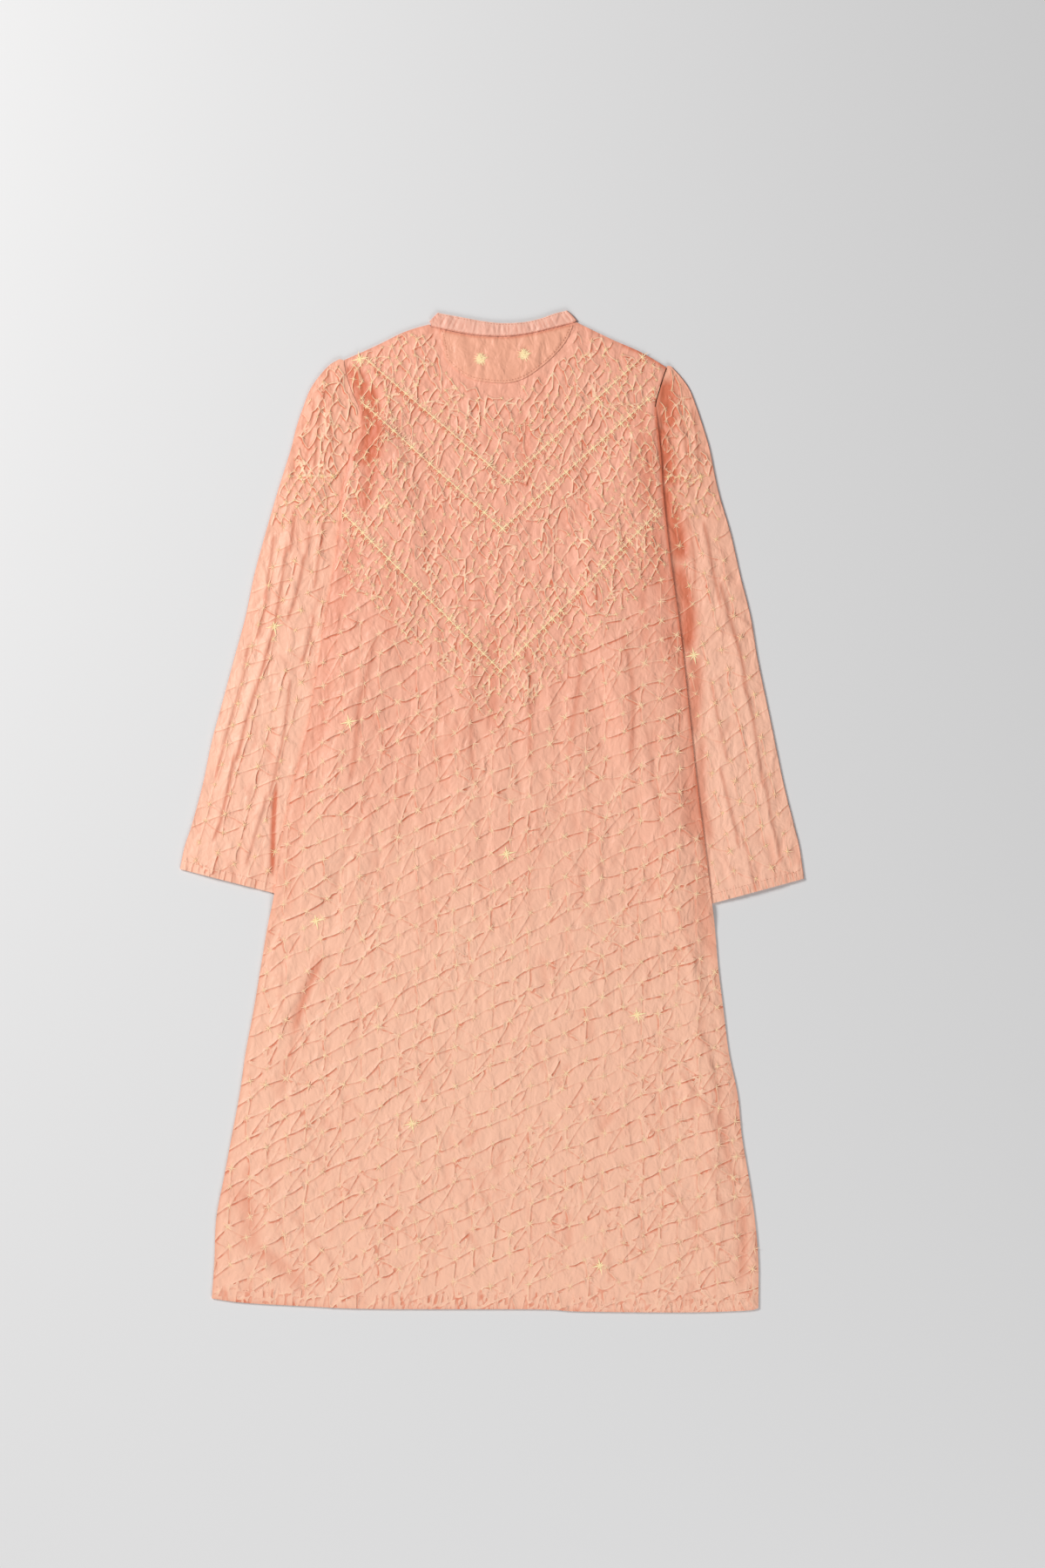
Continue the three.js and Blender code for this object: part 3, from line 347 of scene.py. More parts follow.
def soft_folds(points):
    """Height of the largest soft folds, as in the solid."""
    height = np.zeros(len(points))
    for x, y, to_x, to_y, half_width, rise in SOFT_FOLDS:
        start, part = np.array([x, y]), np.array([to_x - x, to_y - y])
        along = (points - start) @ part / (part @ part)
        across = np.linalg.norm(points - start - np.clip(along, 0, 1)[:, None] * part, axis=1)
        ends = smooth(-0.05, 0.25, along) * smooth(1.05, 0.75, along)
        height += rise * ends * smooth(half_width, 0, across)
    return height


def back_bottom(points):
    """Underside of the back panel, which lies on the front one and puffs up away from its edges."""
    rise = smooth(0, PUFF_REACH, to_line(points, back_edge))
    return front_bottom(points) + WALL + SEAM_GAP + rise * (BODY_PUFF + soft_folds(points))


class Relief:
    """Creases of one stretch of cloth on a fine net: height, distance across the nearest crest, paleness."""

    STEP = 0.8
    MARGIN = 15
    PIECE = 5  # length of a straight piece of a crease
    SPAN = 12  # net points round such a piece
    FAR = 9.0  # beyond this a crest isn't near
    STEEP, GENTLE = 0.62, 1.15  # a broad fold's width on its right and on its left, as shares
    SWAY, SWAY_LENGTH = 0.35, 26  # how far a broad fold wanders, as a share of its width, and how often

    def __init__(self, points):
        self.low = points.min(axis=0) - self.MARGIN
        size = np.ceil((points.max(axis=0) + self.MARGIN - self.low) / self.STEP).astype(int) + 1
        self.height, self.valley = np.zeros(size), np.zeros(size)
        self.gap, self.cross = np.full(size, self.FAR), np.full(size, self.FAR)
        self.pale, self.fold, self.tint = np.zeros(size), np.zeros(size), np.zeros(size)

    def crease(self, start, end, height, pale=0.0, widths=(4.0, 1.7), sag=0.5, bend=0.0, drawn=True,
               claim=0.0):
        """A narrow ridge from start to end, lower in its middle, steep on its right or lower side."""
        start, end = np.asarray(start, float), np.asarray(end, float)
        if end[0] < start[0]:
            start, end = end, start
        part = end - start
        length = np.hypot(*part)
        side = np.array([-part[1], part[0]]) / max(length, 1e-6)
        count = max(1, round(length / self.PIECE))
        share = np.linspace(0, 1, count + 1)
        bow = 4 * share * (1 - share)
        line = start + share[:, None] * part + (bend * bow)[:, None] * side
        for i in range(count):
            middle = 1 - sag * (bow[i] + bow[i + 1]) / 2
            self.stamp(line[i], line[i + 1], height * middle, pale * middle, widths, drawn, claim)

    def window(self, centre, span):
        at = np.round((centre - self.low) / self.STEP).astype(int)
        low, high = np.maximum(at - span, 0), np.minimum(at + span + 1, self.height.shape)
        if (low >= high).any():
            return None, None, None
        x = self.low[0] + self.STEP * np.arange(low[0], high[0])[:, None]
        y = self.low[1] + self.STEP * np.arange(low[1], high[1])[None]
        return (slice(low[0], high[0]), slice(low[1], high[1])), x, y

    def stamp(self, start, end, height, pale, widths, drawn, claim):
        place, x, y = self.window((start + end) / 2, self.SPAN)
        if place is None:
            return
        part = end - start
        length = max(np.hypot(*part), 1e-6)
        ahead = part / length
        along = np.clip((x - start[0]) * ahead[0] + (y - start[1]) * ahead[1], 0, length)
        gap_x, gap_y = x - start[0] - along * ahead[0], y - start[1] - along * ahead[1]
        gap = np.hypot(gap_x, gap_y)
        above = (ahead[0] * (y - start[1]) - ahead[1] * (x - start[0])) > 0
        shape = height * np.exp(-((gap / np.where(above, *widths)) ** 2))
        self.height[place] = np.maximum(self.height[place], shape)
        if not drawn:
            return
        held = np.maximum(gap - claim, 0)
        nearer = (held < self.gap[place]) & (gap < self.FAR)
        self.gap[place] = np.where(nearer, held, self.gap[place])
        self.cross[place] = np.where(nearer, np.where(above, gap, -gap), self.cross[place])
        self.pale[place] = np.where(nearer, pale, self.pale[place])
        self.fold[place] = np.where(nearer, min(1, 1.7 * height), self.fold[place])

    def broad(self, x0, y0, x1, y1, half_width, height, dye=0.0):
        """A wide ridge or valley, with painted shade along a valley and on the steep side of a ridge."""
        start, part = np.array([x0, y0], float), np.array([x1 - x0, y1 - y0], float)
        length = np.hypot(*part)
        place, x, y = self.window(start + part / 2, int((length / 2 + 3 * half_width) / self.STEP))
        if place is None:
            return
        share = ((x - x0) * part[0] + (y - y0) * part[1]) / length**2
        kept = np.clip(share, 0, 1)
        gap_x, gap_y = x - x0 - kept * part[0], y - y0 - kept * part[1]
        aside = (part[0] * gap_y - part[1] * gap_x) * np.sign(-part[1] or 1) / length
        aside += self.SWAY * half_width * np.sin(length / self.SWAY_LENGTH * share + 0.1 * x0)
        right = aside > 0
        beyond = np.clip(np.abs(share - 0.5) - 0.5, 0, None) * length
        gap = np.hypot(aside, beyond) / np.where(right, self.STEEP, self.GENTLE)
        ends = smooth(-0.12, 0.2, share) * smooth(1.12, 0.8, share)
        shape = ends * np.exp(-((gap / half_width) ** 2))
        self.valley[place] += height * shape
        if dye:
            if height > 0:
                shape = 2 * shape * (1 - shape) * right * 2
            self.tint[place] = np.maximum(self.tint[place], dye * shape)

    def sample(self, name, points):
        net = getattr(self, name)
        at = (points - self.low) / self.STEP
        cell = np.clip(np.floor(at).astype(int), 0, np.array(net.shape) - 2)
        part = np.clip(at - cell, 0, 1)
        i, j, u, v = cell[:, 0], cell[:, 1], part[:, 0], part[:, 1]
        low = net[i, j] * (1 - u) + net[i + 1, j] * u
        return low * (1 - v) + (net[i, j + 1] * (1 - u) + net[i + 1, j + 1] * u) * v

    def rise(self, points):
        return self.sample("height", points) + self.sample("valley", points)


# Ties: rows of x, y, reach of its arms, height, share of undyed colour, turn
def tie_rows(points, kind, random, turn=None):
    """Rows for ties of one kind at the points, some larger and some smaller."""
    reach, height, dye = kind
    rows = []
    for x, y in points:
        size = random.uniform(0.8, 1.2)
        turned = random.uniform(0, math.tau) if turn is None else turn
        rows.append((x, y, reach * size, height * size, dye * random.uniform(0.7, 1.15), turned))
    return rows


def star_dot(place):
    """One large undyed dot: a tie with smaller ones packed round it."""
    x, y = place
    turns = (0.4, 1.7, 3.1, 4.6)
    small = [
        (x + STAR_SPREAD * math.cos(t), y + STAR_SPREAD * math.sin(t), *STAR_SMALL_TIE, t) for t in turns]
    return [(x, y, *STAR_TIE, 0.2), *small]


def skirt_rise(x):
    """How far a row of the skirt's ties has climbed at x."""
    return TIE_SLOPE * x - TIE_BEND * x * x


def net(rise):
    """Places of a net of ties, by column and row."""
    columns, rows = math.ceil(HALF_WIDTH / TIE_COLUMN), math.ceil(HALF_LENGTH / TIE_ROW)
    i, j = np.meshgrid(np.arange(-columns, columns + 1), np.arange(-rows, rows + 1), indexing="ij")
    x = i * TIE_COLUMN
    strays = TIE_JITTER * np.stack([scatter(i, j), scatter(j, i)], axis=-1)
    return np.stack([x, j * TIE_ROW + rise(x)], axis=-1) + strays


def point_tree(points):
    tree = kdtree.KDTree(len(points))
    for k, p in enumerate(points.tolist()):
        tree.insert((p[0], p[1], 0), k)
    tree.balance()
    return tree


def beside(points, others, least):
    """True for each point with no other nearer than the least distance."""
    tree = point_tree(others)
    return np.array([tree.find((p[0], p[1], 0))[2] > least for p in points], bool)


def v_line_ties():
    """Places along both arms of each V line, from its point upwards."""
    arms = []
    for x, y, left, right in V_LINES:
        for turn, slope in ((-1, left), (1, right)):
            count = np.arange(0, math.ceil(LINE_LENGTH / LINE_STEP))
            across = count * LINE_STEP / math.hypot(1, slope)
            arms.append(np.stack([x + turn * across, y + across * slope], axis=1))
    return arms


def yoke_bottom(x):
    """Height up the dress of the yoke's lower edge, which runs along below the lowest V line."""
    low_x, low_y, left, right = V_LINES[-1]
    return low_y - YOKE_DEPTH + np.abs(x - low_x) * np.where(x < low_x, left, right)


def on_patch(points):
    return is_inside(points, patch_loop) | (to_line(points, closed(patch_loop)) < KEEP_CLEAR)


def back_ties(relief, sizes):
    """Draws the creases of the back and returns its ties."""
    random = np.random.default_rng(SEEDS["back"])
    hem_top = shifted(hem_line, sizes.hem_band)

    def is_clear(points, least=4):
        clear = is_inside(points, back_loop) & ~on_patch(points) & (to_line(points, back_edge) > least)
        return clear & (points[:, 1] > hem_top[0, 1]) & (to_line(points, hem_top) > 5)

    ties, lines = [], []
    for k, arm in enumerate(v_line_ties()):
        for start, end in zip(arm, arm[1:]):
            if is_clear(np.array([start, end])).all():
                relief.crease(start, end, random.uniform(0.55, 0.9), random.uniform(0.65, 1.0), (1.8, 1.4),
                              0.15, random.uniform(-0.8, 0.8), claim=2.6)
        kept = arm[is_clear(arm)]
        turn = math.atan2(*(arm[1] - arm[0])[::-1])
        between = (arm[1:] + arm[:-1]) / 2
        ties += tie_rows(kept, LINE_TIE if k < 2 else LOW_LINE_TIE, random, turn)
        ties += tie_rows(between[is_clear(between)], BETWEEN_TIE, random, turn)
        lines.append(kept)
    lines = np.vstack(lines)

    def above(points):
        return is_clear(points, 1) & (points[:, 1] > yoke_bottom(points[:, 0]))

    yoke = lattice(relief, back_loop, above, YOKE_LATTICE, random)
    yoke = yoke[beside(yoke, lines, 5) & is_clear(yoke)]
    quiet = (yoke[:, 1] > QUIET_Y) & (np.abs(yoke[:, 0] - QUIET_X) < QUIET_HALF_WIDTH)
    drawn = yoke[random.random(len(yoke)) < np.where(quiet, QUIET_SHARE, YOKE_SHARE)]
    ties += tie_rows(drawn, YOKE_TIE, random)

    places = net(skirt_rise)
    places = places + random.normal(0, 1.6, places.shape)
    flat, shape = places.reshape(-1, 2), places.shape[:2]
    kept = (flat[:, 1] <= yoke_bottom(flat[:, 0])) & is_clear(flat)
    kept[kept] = beside(flat[kept], np.vstack([lines, yoke]), TIE_SPACING)
    ties += tie_rows(places[kept.reshape(shape)], SKIRT_TIE, random)
    near = (is_inside(flat, back_loop) & (flat[:, 1] <= yoke_bottom(flat[:, 0]) + 12)).reshape(shape)
    for a in range(shape[0] - 1):
        for b in range(1, shape[1] - 1):
            if not (near[a, b] or near[a + 1, b]):
                continue
            p = places[a, b]
            strong = random.choice([0.9, 0.6, 0.3], p=[0.3, 0.4, 0.3]) * random.uniform(0.75, 1.2)
            strong *= 1 + 0.5 * smooth(90, 230, abs(p[0]))
            part_crease(relief, p, places[a + 1, b], strong, random.uniform(0.2, 0.7), random)
            others = ((places[a, b - 1], 0.5), (places[a + 1, b - 1], 0.24), (places[a + 1, b + 1], 0.36))
            for other, share in others:
                if near[a, b] and random.random() < share:
                    part_crease(relief, p, other, random.uniform(0.2, 0.6), random.uniform(0.1, 0.5), random)
    ruffles(relief, back_loop, *BACK_RUFFLES, 0.2, random)
    for p in STAR_DOTS:
        ties += star_dot(p)
    # The main creases, with painted shade in their valleys and on their steep sides
    for fold in BACK_CREASES:
        relief.broad(*fold)
    rays(relief, ties, random)
    band_puckers(relief, hem_line, sizes.hem_band, HEM_PUCKER, random)
    return np.array(ties)


def lattice(relief, loop, inside, steps, random):
    """Fine creases between staggered knots, long up the cloth; returns the knots that are inside."""
    low, high = loop.min(axis=0), loop.max(axis=0)
    columns, rows = [math.ceil(size) for size in (high - low) / steps]
    c, r = np.meshgrid(np.arange(columns), np.arange(rows), indexing="ij")
    places = np.stack([low[0] + c * steps[0], low[1] + r * steps[1]], axis=-1)
    places += random.normal(0, 1, places.shape) * (1.3, 2.0)
    held = inside(places.reshape(-1, 2)).reshape(c.shape) & ((c + r) % 2 == 0)
    ways = ((1, 1, 0.8), (-1, 1, 0.74), (0, 2, 0.2), (2, 0, 0.1))  # columns, rows, how often
    for a, b in np.argwhere(held):
        for over, up, share in ways:
            to_a, to_b = a + over, b + up
            met = 0 <= to_a < columns and to_b < rows and held[to_a, to_b]
            if not met or random.random() > share:
                continue
            relief.crease(places[a, b], places[to_a, to_b], random.uniform(0.28, 0.95),
                          random.uniform(0.35, 1.0), (2.0, 1.1), 0.25, random.uniform(-1.6, 1.6),
                          random.random() < 0.85)
    return places[held]


def part_crease(relief, start, end, height, pale, random):
    """A crease that keeps to part of the way between two ties."""
    start, end = np.asarray(start, float), np.asarray(end, float)
    low, high = random.uniform(0, 0.25), random.uniform(0.6, 1.05)
    relief.crease(start + low * (end - start), start + high * (end - start), height, pale,
                  (random.uniform(2.6, 4.4), random.uniform(1.3, 1.8)), random.uniform(0.3, 0.85),
                  random.uniform(-1.3, 1.3))


def ruffles(relief, loop, count, lengths, lean, random):
    """Low soft folds strewn over the cloth, most of them running up it, each with a little painted shade."""
    low, high = loop.min(axis=0), loop.max(axis=0)
    for x, y in random.uniform(low, high, (count, 2)):
        angle = random.normal(math.pi / 2 + lean * random.choice([-1, 1]), 0.3)
        length = random.uniform(*lengths)
        height = random.uniform(0.2, 0.75) * random.choice([-1, 1])
        relief.broad(x, y, x + length * math.cos(angle), y + length * math.sin(angle),
                     random.uniform(3.2, 6.5), height, random.uniform(0, 0.3))


def rays(relief, ties, random):
    """The cloth rises to each tie in a low mound with a few soft folds."""
    for x, y, reach, height, *_ in ties:
        turn = random.uniform(0, math.tau)
        for k in range(3):
            angle = turn + k * math.tau / 3 + random.uniform(-0.4, 0.4)
            far = reach * random.uniform(1.2, 1.9)
            end = (x + far * math.cos(angle), y + far * math.sin(angle))
            relief.crease((x, y), end, height * 0.5, 0.0, (1.9, 1.4), 0.1, drawn=False)
        place, px, py = relief.window(np.array([x, y]), relief.SPAN)
        if place is not None:
            cone = 0.45 * height * np.exp(-(np.hypot(px - x, py - y) / (0.6 * reach)) ** 2)
            relief.height[place] = np.maximum(relief.height[place], cone + 0.5 * relief.height[place])


def band_puckers(relief, line, band, strength, random):
    """Uneven small puckers across a turned and stitched band; its line runs with the cloth on the left."""
    length = np.linalg.norm(np.diff(line, axis=0), axis=1).sum()
    at = random.uniform(3, 7)
    while at < length - 3:
        share = at / length
        foot = resample(line, [share])[0]
        top = shifted(line, band * random.uniform(0.8, 1.35))
        head = resample(top, [np.clip(share + random.normal(0, 0.004), 0, 1)])[0]
        relief.crease(foot, head, strength * random.uniform(0.35, 0.95), 0.08, (2.0, 1.2), 0.25,
                      random.uniform(-0.8, 0.8))
        at += random.uniform(4.5, 11)


def sleeve_ties(relief, side, exposed, cuff, sizes):
    """Draws the creases of a sleeve and returns its ties."""
    random = np.random.default_rng(SEEDS[side])
    inward, lean = TURNS[side], SLEEVE_LEAN[side]
    cuff_top = shifted(cuff, sizes.cuff_band)

    def is_clear(points, least=4):
        clear = is_inside(points, exposed) & (to_line(points, closed(exposed)) > least)
        return clear & (to_line(points, cuff_top) > 4) & (to_line(points, cuff) > sizes.cuff_band)

    places = net(lambda x: inward * skirt_rise(x * inward) + 4)
    x, y = places[..., 0], places[..., 1]
    places = np.stack([x + lean * (SLEEVE_LINE_Y - y), y + lean * x * 0.5], axis=-1)
    flat, shape = places.reshape(-1, 2), places.shape[:2]
    low = flat[:, 1] <= SLEEVE_DENSE_Y
    ties = tie_rows(places[(is_clear(flat) & low).reshape(shape)], SLEEVE_TIE, random)
    near = (is_inside(flat, exposed) & low).reshape(shape)
    strength = random.choice([0.8, 0.5, 0.25], p=[0.3, 0.4, 0.3], size=shape[0])
    for a in range(shape[0] - 1):
        for b in range(1, shape[1] - 1):
            p = places[a, b]
            if (near[a, b] or near[a + 1, b]) and random.random() < 0.62:
                height, pale = random.uniform(0.2, 0.55), random.uniform(0.2, 0.7)
                part_crease(relief, p, places[a + 1, b], height, pale, random)
            if near[a, b] and near[a, b - 1] and random.random() < 0.62:
                height = strength[a] * random.uniform(0.5, 1.2)
                part_crease(relief, p, places[a, b - 1], height, random.uniform(0.1, 0.5), random)
            if near[a, b] and near[a + 1, b - 1] and random.random() < 0.3:
                height, pale = random.uniform(0.2, 0.6), random.uniform(0, 0.4)
                part_crease(relief, p, places[a + 1, b - 1], height, pale, random)

    def above(points):
        return is_clear(points, 1) & (points[:, 1] > SLEEVE_DENSE_Y)

    points = lattice(relief, exposed, above, SLEEVE_LATTICE, random)
    points = points[is_clear(points)]
    heads = points[:, 1] >= SLEEVE_LINE_Y
    ties += tie_rows(points[points[:, 1] < SLEEVE_LINE_Y - 5], ARM_TIE, random)
    ties += tie_rows(points[heads & (random.random(len(points)) < 0.5)], HEAD_TIE, random)
    across = np.arange(exposed[:, 0].min(), exposed[:, 0].max(), 12.5)
    line = np.stack([across, np.full(len(across), float(SLEEVE_LINE_Y))], axis=1)
    line = line[is_clear(line, 3)]
    ties += tie_rows(line, SLEEVE_LINE_TIE, random)
    for start, end in zip(line, line[1:]):
        relief.crease(start, end, 0.4, 0.8, (1.9, 1.4), 0.3)
    for p in SLEEVE_STARS[side]:
        ties += star_dot(p)
    # Broad folds of the sleeve, with painted shade in the valleys and on the steep side of the ridges
    for *fold, height, dye in SLEEVE_CREASES[side]:
        shade_scale = SLEEVE_VALLEY_SHADE if height < 0 else SLEEVE_RIDGE_SHADE
        relief.broad(*fold, SLEEVE_RISE * height, shade_scale * dye)
    ruffles(relief, exposed, *SLEEVE_RUFFLES, lean, random)
    rays(relief, ties, random)
    band_puckers(relief, cuff, sizes.cuff_band, CUFF_PUCKER, random)
    return np.array(ties)


# Meshes
def linked(name, data):
    """A new object of the data, in the scene."""
    made = bpy.data.objects.new(name, data)
    bpy.context.scene.collection.objects.link(made)
    return made


def cloth_piece(part, points, faces, material, attributes, crease_angle=70):
    """The cloth of one part, from points in millimetres and faces turned outwards, in place of its solid."""
    mesh = bpy.data.meshes.new(f"{part}_silk")
    mesh.from_pydata((np.asarray(points) * MM).tolist(), [], faces)
    mesh.update()
    mesh.shade_smooth()
    mesh.set_sharp_from_angle(angle=math.radians(crease_angle))
    for label, values in attributes.items():
        layer = mesh.attributes.new(label, "FLOAT", "POINT")
        layer.data.foreach_set("value", np.asarray(values, np.float32))
    mesh.materials.append(material)
    piece = linked(f"{part}_silk", mesh)
    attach(piece, "root")
    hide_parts(part)
    return piece


def filled(loop, step, clear):
    """Triangles over a loop and a field of points inside it, facing up; returns points and triangles."""
    points = np.vstack([loop, field(loop, step, clear)])
    edges = [(i, (i + 1) % len(loop)) for i in range(len(loop))]
    found, _, faces, origins, _, _ = geometry.delaunay_2d_cdt(
        [Vector(p) for p in points.tolist()], edges, [], 1, 1e-6)
    if len(found) != len(points):
        raise RuntimeError(f"the cloth's net has {len(found)} points for {len(points)}")
    turned = []
    for face in faces:
        a, b, c = [origins[k][0] for k in face]
        twice = np.cross(points[b] - points[a], points[c] - points[a])
        turned.append((a, b, c) if twice > 0 else (a, c, b))
    return points, turned


def field(loop, step, clear):
    """An even field of points inside a loop, in staggered rows."""
    low, high = loop.min(axis=0), loop.max(axis=0)
    rows = np.arange(low[1] + clear, high[1], step * 0.87)
    points = np.array([
        (x, y) for k, y in enumerate(rows) for x in np.arange(low[0] + (k % 2) * step / 2, high[0], step)])
    points = points[is_inside(points, loop)]
    return points[to_line(points, closed(loop)) > clear]


def two_skins(upper, upper_faces, lower, lower_faces, ring):
    """Closed cloth of two skins that face up; the lower one is turned over and a wall joins their edges.

    The ring has the points of the upper skin's edge, in the order of the lower skin's first points.
    """
    count = len(upper)
    faces = [*upper_faces, *[(count + a, count + c, count + b) for a, b, c in lower_faces]]
    for i, start in enumerate(ring):
        k = (i + 1) % len(ring)
        faces.append((int(ring[k]), int(start), count + i, count + k))
    return np.vstack([upper, lower]), faces


def woven_grid(bottom, top, left, right):
    """Points of four-sided cloth between its edges; left and right run upwards."""
    u, v = share_along(bottom)[None, :, None], share_along(left)[:, None, None]
    edges = (1 - v) * bottom[None] + v * top[None] + (1 - u) * left[:, None] + u * right[:, None]
    corners = (1 - u) * ((1 - v) * bottom[0] + v * top[0]) + u * ((1 - v) * bottom[-1] + v * top[-1])
    return edges - corners


def share_along(line):
    run = run_along(line)
    return run / run[-1]


def grid_faces(rows, columns, first=0):
    """Quads of a grid whose rows go up and columns go right, facing up."""
    a = (first + np.arange(rows - 1)[:, None] * columns + np.arange(columns - 1)[None]).ravel()
    return np.stack([a, a + 1, a + columns + 1, a + columns], axis=1).tolist()


def border(rows, columns):
    """Indexes round the edge of a grid, anticlockwise."""
    index = np.arange(rows * columns).reshape(rows, columns)
    return np.concatenate([index[0, :-1], index[:-1, -1], index[-1, :0:-1], index[:0:-1, 0]])


def crest_values(relief, points, extra, reach):
    """The crest attributes of an upper skin, with plain cloth for the points that follow it.

    A point farther than the reach from a crest carries none, so that two crests draw no third between them.
    """
    near = smooth(reach, reach * 0.6, relief.sample("gap", points))
    values = {}
    for name, share in {"cross": 1, "pale": near, "fold": near, "tint": 1}.items():
        plain = Relief.FAR if name == "cross" else 0.0
        values[name] = np.concatenate([relief.sample(name, points) * share, np.full(extra, plain)])
    return values


# Materials
def linear(colour):
    """The linear colour of an sRGB hex value, with alpha."""
    channels = [int(colour[k:k + 2], 16) / 255 for k in (1, 3, 5)]
    return [c / 12.92 if c <= 0.04045 else ((c + 0.055) / 1.055) ** 2.4 for c in channels] + [1.0]


def node(tree, kind, settings=None, **links):
    """Adds a node; settings are its own values, links are socket name = value or output socket."""
    made = tree.nodes.new(kind)
    for name, value in (settings or {}).items():
        setattr(made, name, value)
    for name, value in links.items():
        key = int(name[1:]) if name[0] == "i" and name[1:].isdigit() else name.replace("_", " ")
        socket = made.inputs[key]
        if isinstance(value, bpy.types.NodeSocket):
            tree.links.new(value, socket)
        else:
            socket.default_value = value
    return made


def maths(tree, operation, first, second, clamp=True):
    """One calculation with two values, its result kept between 0 and 1 unless clamp is off."""
    settings = {"operation": operation, "use_clamp": clamp}
    return node(tree, "ShaderNodeMath", settings, i0=first, i1=second).outputs[0]


def ramp(tree, value, start, full, low=0.0, high=1.0, kind="LINEAR"):
    """From low where the value is at its start to high where it is full."""
    return node(tree, "ShaderNodeMapRange", {"interpolation_type": kind}, Value=value, From_Min=start,
                From_Max=full, To_Min=low, To_Max=high).outputs["Result"]


def mixed(tree, share, first, second):
    """The second colour by its share, over the first."""
    return node(tree, "ShaderNodeMix", {"data_type": "RGBA"}, i0=share, i6=first, i7=second).outputs[2]


def grain(tree, place, scale, detail=2.0):
    """Noise with the given number of grains to a metre."""
    return node(tree, "ShaderNodeTexNoise", Vector=place, Scale=scale, Detail=detail).outputs["Fac"]


def bumped(tree, height, depth, strength=1.0, **links):
    return node(tree, "ShaderNodeBump", Strength=strength, Distance=depth, Height=height, **links).outputs[0]


def carried(tree, name):
    """A value that the cloth's points carry."""
    return node(tree, "ShaderNodeAttribute", {"attribute_name": name}).outputs["Fac"]


def new_material(name, **values):
    """A material, its tree, its shader with constants set, and the object's own coordinates."""
    material = bpy.data.materials.new(name)
    material.use_nodes = True
    tree = material.node_tree
    shader = tree.nodes["Principled BSDF"]
    for socket, value in values.items():
        shader.inputs[socket.replace("_", " ")].default_value = value
    return material, tree, shader, node(tree, "ShaderNodeTexCoord").outputs["Object"]


def silk(name, low_colour, high_colour, crest_colour, looks, low_y=-0.5, high_y=0.5):
    """Crinkled silk: plain weave whose fine threads give a soft sheen, deeper dyed in patches, with painted
    shade in its folds, seams and below its crests.
    """
    material, tree, shader, place = new_material(
        name, IOR=1.54, Sheen_Weight=0.08, Sheen_Roughness=0.4, Sheen_Tint=linear("#ffe6d6"),
        Specular_IOR_Level=0.35)
    up = node(tree, "ShaderNodeSeparateXYZ", Vector=place).outputs["Y"]
    cloud = grain(tree, place, 1 / looks.patch_size, 3.0)
    lean = node(tree, "ShaderNodeMath", {"operation": "MULTIPLY_ADD"}, i0=cloud, i1=0.9, i2=-0.45).outputs[0]
    share = maths(tree, "ADD", ramp(tree, up, low_y, high_y, kind="SMOOTHSTEP"), lean)
    dyed = mixed(tree, share, linear(low_colour), linear(high_colour))
    cross, pale, fold, tint = [carried(tree, label) for label in ("cross", "pale", "fold", "tint")]
    broken = ramp(tree, grain(tree, place, 70.0, 1.0), 0.38, 0.56, 0.5)

    def between(start, full):
        """From nothing at one distance across a crest to all at another."""
        return ramp(tree, cross, start, full, kind="SMOOTHSTEP")

    def times(a, b):
        return maths(tree, "MULTIPLY", a, b)

    # Along each crest the dye is pale, palest where it was tied tight; below it, on its steep side, runs a
    # line of painted shade, and folds, valleys and seams take painted shade as well
    crest = times(between(looks.crest_width + CREST_FULL, CREST_FULL), between(*CREST_EDGE))
    crest = times(times(crest, pale), broken)
    deep = times(times(between(*LINE_END), between(*LINE_EDGE)), times(fold, broken))
    undyed = mixed(tree, ramp(tree, pale, 0.75, 1.0), linear(crest_colour), linear(looks.tie_colour))
    soft = times(tint, maths(tree, "ADD", cloud, 0.35, False))
    shaded_colour = mixed(tree, times(soft, looks.painted_shade_strength), dyed, linear(looks.fold_shade_colour))
    shaded_colour = mixed(tree, times(deep, looks.painted_shade_strength), shaded_colour, linear(looks.crease_shade_colour))
    tree.links.new(mixed(tree, crest, shaded_colour, undyed), shader.inputs["Base Color"])
    ridge = times(times(between(*RIDGE_RISE), between(*RIDGE_FALL)), fold)

    # Threads are 0.3 mm apart, too fine to show, so the weave is drawn four times as coarse
    weave = grain(tree, place, 1 / looks.weave)
    longer = node(tree, "ShaderNodeVectorMath", {"operation": "MULTIPLY"}, i0=place, i1=(1, 0.62, 1))
    wrinkle = node(tree, "ShaderNodeTexNoise", Vector=longer.outputs[0], Scale=1 / looks.wrinkle, Detail=2.0,
                   Distortion=0.4).outputs["Fac"]
    rough = ramp(tree, wrinkle, 0.0, 1.0, looks.roughness - 0.08, looks.roughness + 0.08)
    tree.links.new(rough, shader.inputs["Roughness"])
    bump = bumped(tree, wrinkle, looks.wrinkle_depth)
    bump = bumped(tree, weave, looks.weave_depth, Normal=bump)
    tree.links.new(bumped(tree, ridge, looks.ridge_depth, Normal=bump), shader.inputs["Normal"])
    return material


def tie_silk(name, cloth_colour, looks):
    """Silk pinched up by a tie: the knot kept the dye off, so its tip stays pale yellow."""
    material, tree, shader, place = new_material(name, Roughness=0.5, IOR=1.54, Sheen_Weight=0.08)
    coloured = mixed(tree, carried(tree, "tip"), linear(cloth_colour), linear(looks.tie_colour))
    tree.links.new(coloured, shader.inputs["Base Color"])
    weave = grain(tree, place, 1 / looks.weave)
    tree.links.new(bumped(tree, weave, 0.00015), shader.inputs["Normal"])
    return material


